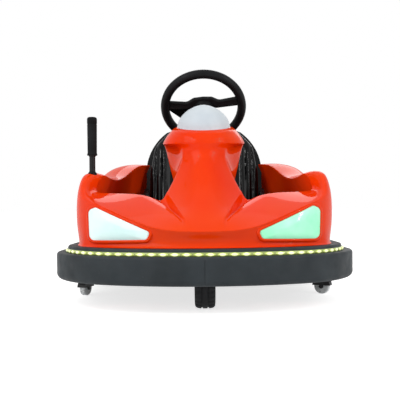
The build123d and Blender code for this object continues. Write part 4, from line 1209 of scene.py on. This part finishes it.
def washer(radius, height, place):
    """Loops of a washer with a softened rim."""
    levels = [(radius, 0.0), (radius, height - 0.4), (radius - 0.5, height)]
    return turned([*levels, (radius * 0.4, height)], 24, place)


def link_fasteners(heads, head_size, washers, washer_size, places, body):
    """All the heads of one kind as one piece, and the washers under them as another."""
    mesh = skin_mesh(heads, [hexagon_head(*head_size, place) for place in places])
    link(heads, mesh, "bright_steel", body, smooth=False)
    mesh = skin_mesh(washers, [washer(*washer_size, place) for place in places])
    link(washers, mesh, "bright_steel", body)


def make_fasteners():
    """Bolt heads under the castor plates, and nuts on the ends of the drive axle."""
    places = []
    for joint in frame["joints"]:
        if joint["name"].startswith("castor_swivel"):
            middle = Vector(joint["pos_m"])
            plate_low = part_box(joint["name"].replace("swivel", "plate"))[0].z
            under = plate_low + PLATE_THICKNESS * MM
            for dx, dy in CASTOR_HOLES:
                spot = Vector((middle.x + dx * MM, middle.y + dy * MM, under))
                places.append(aimed(spot, (0, 0, -1)))
    link_fasteners("castor_bolts", CASTOR_BOLT, "castor_washers", CASTOR_WASHER, places, "chassis")
    axle_low, axle_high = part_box("drive_axle")
    middle = (axle_low + axle_high) / 2
    fork_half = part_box("drive_fork")[1].x
    places = []
    for side in (-1, 1):
        spot = Vector((side * fork_half, middle.y, middle.z))
        places.append(aimed(spot, (side, 0, 0), across=(0, 1, 0)))
    link_fasteners("axle_nuts", AXLE_NUT, "axle_washers", AXLE_WASHER, places, "fork")


def make_lever():
    """The hand lever's moulded grip, and the collar under it."""
    pivot = joint_place("lever_swing")
    low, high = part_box("lever_grip")
    foot = (low.z - pivot.z) / MM
    top = (high.z - pivot.z) / MM
    place = Matrix.Translation(pivot)
    grip = [(12.0, foot), (17.6, foot), (18.6, foot + 1.2), (18.6, foot + 5), (17.6, foot + 7)]
    shaft = top - foot - 37
    grip += [(17.0 + 0.7 * k / 8, foot + 9 + shaft * k / 8) for k in range(9)]
    grip += [(17.8, top - 27), (16.9, top - 26), (16.9, top - 24.6), (18.0, top - 23.6),
             (18.2, top - 8), (17.4, top - 4), (15.4, top - 1.2), (12.4, top), (5, top + 0.3)]
    handle = lathe("lever_handle", grip, "grip_foam", "lever", place=place, segments=40)
    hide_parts("lever_grip")
    level = foot - 4
    collar = [(11.2, level), (12.6, level + 0.4), (13.0, level + 1.6), (13.0, level + 4)]
    lathe("lever_collar", collar, "lever_paint", "lever", place=place, segments=32, caps=None)


# (height, radius) of the grommet's pleats, from the mudguard up to the rod
BOOT_ROWS = [
    (464, 16.5), (474, 16.0), (476, 15.2), (476.8, 14.4), (476.4, 13.8), (477.6, 13.2),
    (478.2, 12.6), (479.4, 12.0), (481, 11.6),
]


def make_boot():
    """A small pleated grommet where the lever passes through the mudguard."""
    pivot = joint_place("lever_swing")
    loops = [
        [(pivot.x + x, pivot.y + y, level * MM) for x, y, _ in circle(radius * MM, 0, 36)]
        for level, radius in BOOT_ROWS
    ]
    boot = skin("lever_boot", loops, "grip_foam", caps=None)
    boot.parent = None
    boot.matrix_world = Matrix.Identity(4)
    foot, top = pivot.copy(), pivot.copy()
    foot.z, top.z = BOOT_ROWS[1][0] * MM, BOOT_ROWS[-1][0] * MM
    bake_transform(boot)


# (radius, distance along the shaft from the wheel)
BUSH_RING = [(10.4, -123), (16, -123.6), (19, -126), (20, -130), (24, -133), (30, -135.5),
             (32, -139), (32, -150), (18.2, -150)]


def make_column_trim():
    """A flared collar where the steering column comes out of the nose."""
    place = aimed(joint_place("steering_turn"), joint_named("steering_turn")["axis"])
    lathe("column_bush", BUSH_RING, "seat_plastic", place=place, segments=40, wrap=True)


PEDAL_TOP = Vector((372.0, 218.0))  # setback and height of the sloping face's upper end
PEDAL_FOOT = Vector((420.0, 147.0))
PEDAL_RIDGES = 7
PEDAL_BORDER = 4  # plain strip at each side of the ridges
RIDGE_HALF_WIDTH = 3.4
RIDGE_HEIGHT = 3.2
RIDGE_SINK = 0.3


def make_pedal():
    """Moulded ridges across the pedal's sloping face."""
    low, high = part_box("foot_pedal")
    middle = (low.x + high.x) / 2 / MM
    half = (high.x - low.x) / 2 / MM - PEDAL_BORDER
    along = (PEDAL_FOOT - PEDAL_TOP).normalized()
    out = Vector((-along.y, along.x))
    ends = ((-half, 0.35), (-half + 1, 0.8), (-half + 3, 1.0))
    ends += tuple((-x, size) for x, size in reversed(ends))
    ridges = []
    for k in range(PEDAL_RIDGES):
        centre = PEDAL_TOP.lerp(PEDAL_FOOT, (k + 0.6) / (PEDAL_RIDGES + 0.2))
        loops = []
        for x, size in ends:
            loop = []
            for i in range(9):
                angle = math.pi * i / 8
                spot = centre + along * (RIDGE_HALF_WIDTH * size * math.cos(angle))
                spot += out * (RIDGE_HEIGHT * size * math.sin(angle) - RIDGE_SINK)
                loop.append(at(middle + x, spot.x, spot.y))
            loops.append(loop)
        ridges.append(loops)
    link("pedal_ridges", skin_mesh("pedal_ridges", ridges), "grip_foam")


# ---- stage

FLOOR_GLOW = 0.72
FLOOR_REACH = 40
WORLD_LIGHT = 0.45
# name, place, target, size and power
LAMPS = [
    ("key", (-2.6, -2.6, 2.2), (0, 0, 0.4), (3.0, 3.0), 66),
    ("key_spot", (-1.6, -2.6, 2.9), (0, 0, 0.4), (0.7, 0.12), 15),
    ("fill", (2.8, -2.2, 1.8), (0, 0, 0.4), (2.4, 2.6), 22),
    ("strip", (2.2, -1.7, 1.5), (0, 0.2, 0.5), (0.06, 1.5), 15),
    ("top", (0, 0.3, 3.2), (0, 0, 0.3), (3.2, 3.2), 10),
    ("back", (0.5, 3.2, 2.2), (0, 0, 0.5), (2.6, 1.6), 22),
]


def make_lamp(name, place, target, size, power):
    data = bpy.data.lights.new(name, "AREA")
    data.shape = "RECTANGLE"
    data.size, data.size_y = size
    data.energy = power
    light = new_object(name, data)
    light.location = place
    light.rotation_euler = (Vector(target) - Vector(place)).to_track_quat("-Z", "Y").to_euler()


def direct_rays(tree):
    """1 for camera, mirror and see-through rays, which meet the plain white background."""
    rays = tree.nodes.new("ShaderNodeLightPath").outputs
    total = rays["Is Camera Ray"]
    for name in ("Is Glossy Ray", "Is Transmission Ray"):
        total = add_node(tree, "Math", {0: total, 1: rays[name]}, operation="MAXIMUM").outputs[0]
    return total


def make_floor():
    """A floor that takes the car's shadow, and glows up to white where it is seen directly."""
    shader = worn(
        "floor", (0.8, 0.8, 0.8, 1.0), patches=((0.78, 0.78, 0.78, 1.0), 2),
        rough=(0.85, 0.95, 4), grains=[], Specular_IOR_Level=0.1, Emission_Color=WHITE,
    )
    inputs = {0: direct_rays(shader.id_data), 1: FLOOR_GLOW}
    glow = add_node(shader.id_data, "Math", inputs, operation="MULTIPLY")
    feed(shader, {"Emission Strength": glow.outputs[0]})
    mesh = bpy.data.meshes.new("floor")
    reach = FLOOR_REACH
    corners = [(-reach, -reach, 0), (reach, -reach, 0), (reach, reach, 0), (-reach, reach, 0)]
    mesh.from_pydata(corners, [], [(0, 1, 2, 3)])
    mesh.materials.append(MATERIALS["floor"])
    floor = new_object("floor", mesh)


def make_world():
    """A dim, slightly warm sky for the light, behind a plain white backdrop."""
    world = bpy.data.worlds.new("studio")
    world.use_nodes = True
    tree = world.node_tree
    sky = tree.nodes["Background"]
    feed(sky, {"Color": (1.0, 0.99, 0.97, 1), "Strength": WORLD_LIGHT})
    backdrop = add_node(tree, "Background", {"Color": WHITE})
    inputs = {"Fac": direct_rays(tree), 1: sky.outputs[0], 2: backdrop.outputs[0]}
    mix = add_node(tree, "MixShader", inputs)
    feed(tree.nodes["World Output"], {"Surface": mix.outputs[0]})
    bpy.context.scene.world = world


make_materials()
make_camera()
make_floor()
make_world()
for lamp in LAMPS:
    make_lamp(*lamp)
shell = make_body()
make_bumper()
make_led_band()
make_headlamps()
make_tail_lamps(shell)
make_dome()
make_steering_wheel()
make_back_pad()
make_base_pad()
make_tyre()
make_fasteners()
make_lever()
make_boot()
make_column_trim()
make_pedal()

bpy.context.view_layer.update()
